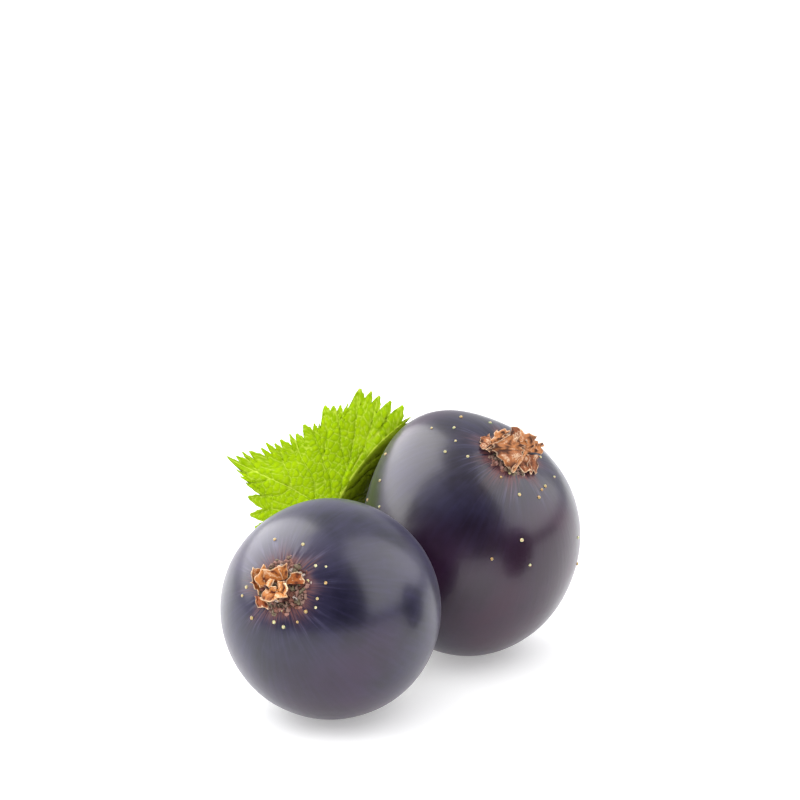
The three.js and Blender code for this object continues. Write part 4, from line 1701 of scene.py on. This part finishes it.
@dataclass
class Studio:
    """Pale floor, soft light from all sides, two mirrored patches, a dark flag and a dim room."""

    panels: Sequence[Panel] = (
        Panel("light_left", -70, 42, (0.95, 0.70), 2.0),
        Panel("light_right", 62, 42, (0.80, 0.70), 0.85),
        Panel("light_top", 0, 85, (1.5, 1.5), 0.5),
        Panel("light_front", 180, 40, (1.2, 1.0), 1.0),
    )
    reflectors: Sequence[Reflector] = (
        Reflector("mirror_left", (-101, -20), (5, 70), 5.0),
        Reflector("mirror_right", (46, 143), (4, 82), 2.9, 9.0),
    )
    aim: tuple[float, float, float] = (4.0, 5.0, 6.0)
    floor_size: float = 1.2
    flag_place: tuple[float, float, float] = (17.4, -2.2, 7.6)
    flag_radii: tuple[float, float, float] = (3.8, 3.8, 5.0)
    room_levels: tuple[float, float, float, float] = (-0.1, 1.35, 0.05, 0.9)

    def build(self) -> None:
        """Make the floor, the lights, the patches, the room and the small dark flag."""
        self._build_floor()
        aim = np.array(self.aim)
        for panel in self.panels:
            panel.build(SHIFT + aim * MM)
        for reflector in self.reflectors:
            reflector.build(aim)
        self._build_room()
        self._build_flag()
        bpy.context.scene.view_settings.view_transform = "Standard"

    def _build_floor(self) -> None:
        """Make the floor, a plain square with its top at zero."""
        half = self.floor_size / 2
        mesh = bpy.data.meshes.new("floor")
        corners = [(-half, -half, 0), (half, -half, 0), (half, half, 0), (-half, half, 0)]
        mesh.from_pydata(corners, [], [(0, 1, 2, 3)])
        shader = Shader("floor_paper")
        grain = shader.noise(4.0, 2.0)
        paper = shader.mix(grain, (0.79, 0.79, 0.79), (0.81, 0.81, 0.81))
        mesh.materials.append(shader.surface(Base_Color=paper, Roughness=0.85, Specular_IOR_Level=0.1,
                                             Emission_Color=(1.0, 1.0, 1.0), Emission_Strength=0.34))
        floor = bpy.data.objects.new("floor", mesh)
        bpy.context.scene.collection.objects.link(floor)

    def _build_room(self) -> None:
        """Light the room dimly: brighter behind and above the sprig than in front of it.

        A direction's y and z are added, and the sum's first two levels are eased to the last two.
        """
        world = bpy.data.worlds.new("room")
        world.use_nodes = True
        bpy.context.scene.world = world
        tree = world.node_tree
        tree.nodes.clear()
        place = tree.nodes.new("ShaderNodeTexCoord")
        split = tree.nodes.new("ShaderNodeSeparateXYZ")
        tree.links.new(place.outputs["Generated"], split.inputs[0])
        level = tree.nodes.new("ShaderNodeMapRange")
        level.interpolation_type = "SMOOTHSTEP"
        for socket, value in zip(level.inputs[1:5], self.room_levels):
            socket.default_value = value
        total = tree.nodes.new("ShaderNodeMath")
        for socket, axis in zip(total.inputs, ("Y", "Z")):
            tree.links.new(split.outputs[axis], socket)
        tree.links.new(total.outputs[0], level.inputs[0])
        light = tree.nodes.new("ShaderNodeBackground")
        light.inputs["Color"].default_value = (0.94, 0.96, 1.0, 1.0)
        tree.links.new(level.outputs[0], light.inputs["Strength"])
        end = tree.nodes.new("ShaderNodeOutputWorld")
        tree.links.new(light.outputs[0], end.inputs[0])

    def _build_flag(self) -> None:
        """Make a small dark ball beside the sprig, which only reflections see."""
        bpy.ops.mesh.primitive_uv_sphere_add(segments=32, ring_count=16, radius=1.0)
        flag = bpy.context.object
        flag.name = "dark_flag"
        size = Matrix.Diagonal((*(radius * MM for radius in self.flag_radii), 1.0))
        place = Vector(SHIFT + np.array(self.flag_place) * MM)
        flag.data.transform(Matrix.Translation(place) @ size)
        shader = Shader("flag_black")
        flag.data.materials.append(shader.surface(Base_Color=(0.01, 0.01, 0.014), Roughness=0.5))
        only_mirrored(flag)


# The sprig's own numbers

FRONT_GLANDS = (
    (275, 539.6), (303, 544.6), (315.6, 566), (326.4, 566.6), (308, 581), (326, 583), (305, 587.4),
    (317, 598.4), (315.6, 607.7), (305.6, 611.4), (282.5, 610.4), (297.3, 622), (274, 622.3),
    (283.6, 626.8), (252, 618), (246.8, 587), (242.4, 595.7),
)
BACK_GLANDS = (
    (461, 417), (432, 428), (454, 427.5), (456, 441), (445.4, 451.5), (467.3, 456.4), (490, 423),
    (385.7, 454), (380, 480.4), (368, 500), (379.6, 507), (501, 477), (509.5, 473.4), (519.5, 494.3),
    (539, 497), (542, 490), (545, 486), (554, 476.7), (540.5, 457), (522, 540), (492, 559),
    (529.6, 565), (577.8, 537.5), (577, 564),
)


def front_berry() -> Berry:
    """Return the smaller berry, which is almost a ball."""
    return Berry("berry_front", "berry_front", (0, 0, 5.92), (0, 0, 1), (1, 0, 0), (6.0, 6.0, 6.0),
                 (-0.427, -0.753, 0.501), (0.44, 0.7, -0.56), BerrySkin("front_skin"), FRONT_GLANDS, 11)


def back_berry() -> Berry:
    """Return the larger berry, fuller at one shoulder and flatter towards its flower.

    Returns:
        The berry.
    """
    skin = BerrySkin("back_skin", deep=(0.006, 0.003, 0.012), bloom=(0.016, 0.012, 0.042),
                     wine=(0.030, 0.006, 0.023))
    swellings = (Swelling((-0.524, 0.294, 0.799), 0.12, 0.54), Swelling((0.52, 0.279, 0.807), -0.12, 1.02))
    return Berry("berry_back", "berry_back", (7.92, 9.89, 6.845), (0.245, 0.322, 0.914),
                 (-0.969, 0.097, 0.225), (7.045, 6.235, 6.31), (0.335, -0.4, 0.853),
                 (-0.6, 0.47, -0.65), skin, BACK_GLANDS, 29, swellings, 1.0)


def calyces(front: Berry, back: Berry) -> list[WitheredCalyx]:
    """Return the two withered flowers.

    Args:
        front: the smaller berry.
        back: the larger berry.

    Returns:
        Both, in the order of the berries.
    """
    curled = (
        Flap(((259, 594, 0.3), (265, 571, 0.3), (250, 582, 0.95), (253, 567, 1.0)), 101, 0.5, 0.14),
        Flap(((262, 591, 0.35), (270, 574, 0.4), (255, 579, 0.95), (264, 565, 0.9)), 111, 0.9, 0.14),
        Flap(((266, 584, 0.35), (283, 580, 0.35), (262, 571, 0.95), (279, 567, 0.85)), 121, 0.5, 0.14),
        Flap(((277, 592, 0.35), (279, 581, 0.4), (287, 598, 0.7), (287, 583, 0.8)), 131, 0.85, 0.12),
        Flap(((266, 588, 0.3), (279, 589, 0.3), (261, 599, 0.8), (279, 602, 0.75)), 141, 0.6, 0.14),
        Flap(((276, 590, 0.5), (284, 588, 0.5), (275, 600, 0.75), (287, 597, 0.7)), 151, 1.0, 0.12),
        Flap(((280, 581, 0.35), (288, 578, 0.35), (278, 566, 0.7), (287, 564, 0.65)), 161, 0.75, 0.08),
        Flap(((287, 584, 0.28), (303, 584, 0.25), (290, 573, 0.45), (303, 572, 0.32)), 171, 0.25, 0.06, 0.08),
        Flap(((255, 596, 0.2), (266, 598, 0.3), (257, 607, 0.3), (269, 609, 0.3)), 181, 0.1, 0.10),
        Flap(((264, 584, 0.5), (268, 577, 0.5), (270, 588, 0.75), (274, 580, 0.75)), 191, 0.85, 0.10),
        Flap(((269, 593, 0.45), (276, 593, 0.45), (270, 586, 0.8), (276, 587, 0.8)), 195, 1.0, 0.08),
    )
    folded = (
        Flap(((492, 450, 0.7), (525, 450, 0.8), (509, 469, 0.35), (513, 470, 0.35)), 201, 0.42, 0.05, 0.1),
        # A narrow strip along the big flap's folded edge; its pale tone is partly a painted highlight, partly
        # the paper's own pale tone.
        Flap(((525, 450, 0.8), (528, 452, 0.6), (511, 470, 0.38), (514, 472, 0.2)), 211, 1.6, 0.02),
        Flap(((488, 450, 0.5), (524, 450, 0.75), (508, 434, 0.9), (520, 438, 0.9)), 221, 0.65, 0.07, 0.05),
        # A narrow strip along the ridge; its pale tone is partly a painted highlight, partly the paper's own
        # pale tone.
        Flap(((486, 450, 0.5), (489, 448, 0.55), (511, 434, 0.95), (515, 432, 0.95)), 231, 1.5, 0.02),
        Flap(((487, 448, 0.4), (499, 444, 0.6), (497, 430, 0.9), (511, 429, 0.95)), 241, 1.1, 0.09),
        Flap(((508, 437, 0.85), (518, 442, 0.75), (512, 427, 1.05), (522, 429, 1.05)), 251, 0.15, 0.09),
        Flap(((514, 448, 0.65), (532, 452, 0.5), (521, 431, 1.05), (536, 436, 0.85)), 261, 0.7, 0.12),
        Flap(((522, 452, 0.55), (542, 454, 0.3), (528, 440, 0.8), (543, 444, 0.5)), 271, 0.85, 0.12),
        Flap(((517, 455, 0.4), (529, 456, 0.4), (520, 470, 0.2), (532, 473, 0.15)), 283, 0.3, 0.08),
        Flap(((527, 455, 0.35), (539, 456, 0.25), (529, 474, 0.2), (537, 472, 0.1)), 285, 0.15, 0.08),
        Flap(((480, 438, 0.15), (490, 434, 0.3), (481, 449, 0.15), (491, 452, 0.35)), 291, 0.4, 0.1),
    )
    # Its fold colour is the painted shade in the folds; straw pales the crests as a painted highlight and the
    # edges.
    orange = WitheredFlower("front_flower", fold=(0.090, 0.016, 0.004), copper=(0.30, 0.070, 0.013),
                            paper=(0.56, 0.205, 0.048), straw=(0.96, 0.74, 0.48))
    russet = WitheredFlower("back_flower")
    return [WitheredCalyx("calyx_front", "calyx_front", front, curled, orange, 61, 1.75, (-0.65, 0.1, 0.3)),
            WitheredCalyx("calyx_back", "calyx_back", back, folded, russet, 71, 1.75)]


def main() -> None:
    """Build the sprig, piece by piece, and the studio round it."""
    logging.basicConfig(level=logging.INFO, format="%(name)s: %(message)s")
    view = Viewpoint()
    view.build()
    Studio().build()
    front, back = front_berry(), back_berry()
    resin = GlandFinish().material()
    for berry in (front, back):
        berry.build_skin()
        berry.build_glands(view, resin)
    for calyx in calyces(front, back):
        calyx.build(view)
    Leaf().build()
    FruitStem().build()
    Twig().build()
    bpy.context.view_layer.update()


if __name__ == "__main__":
    main()
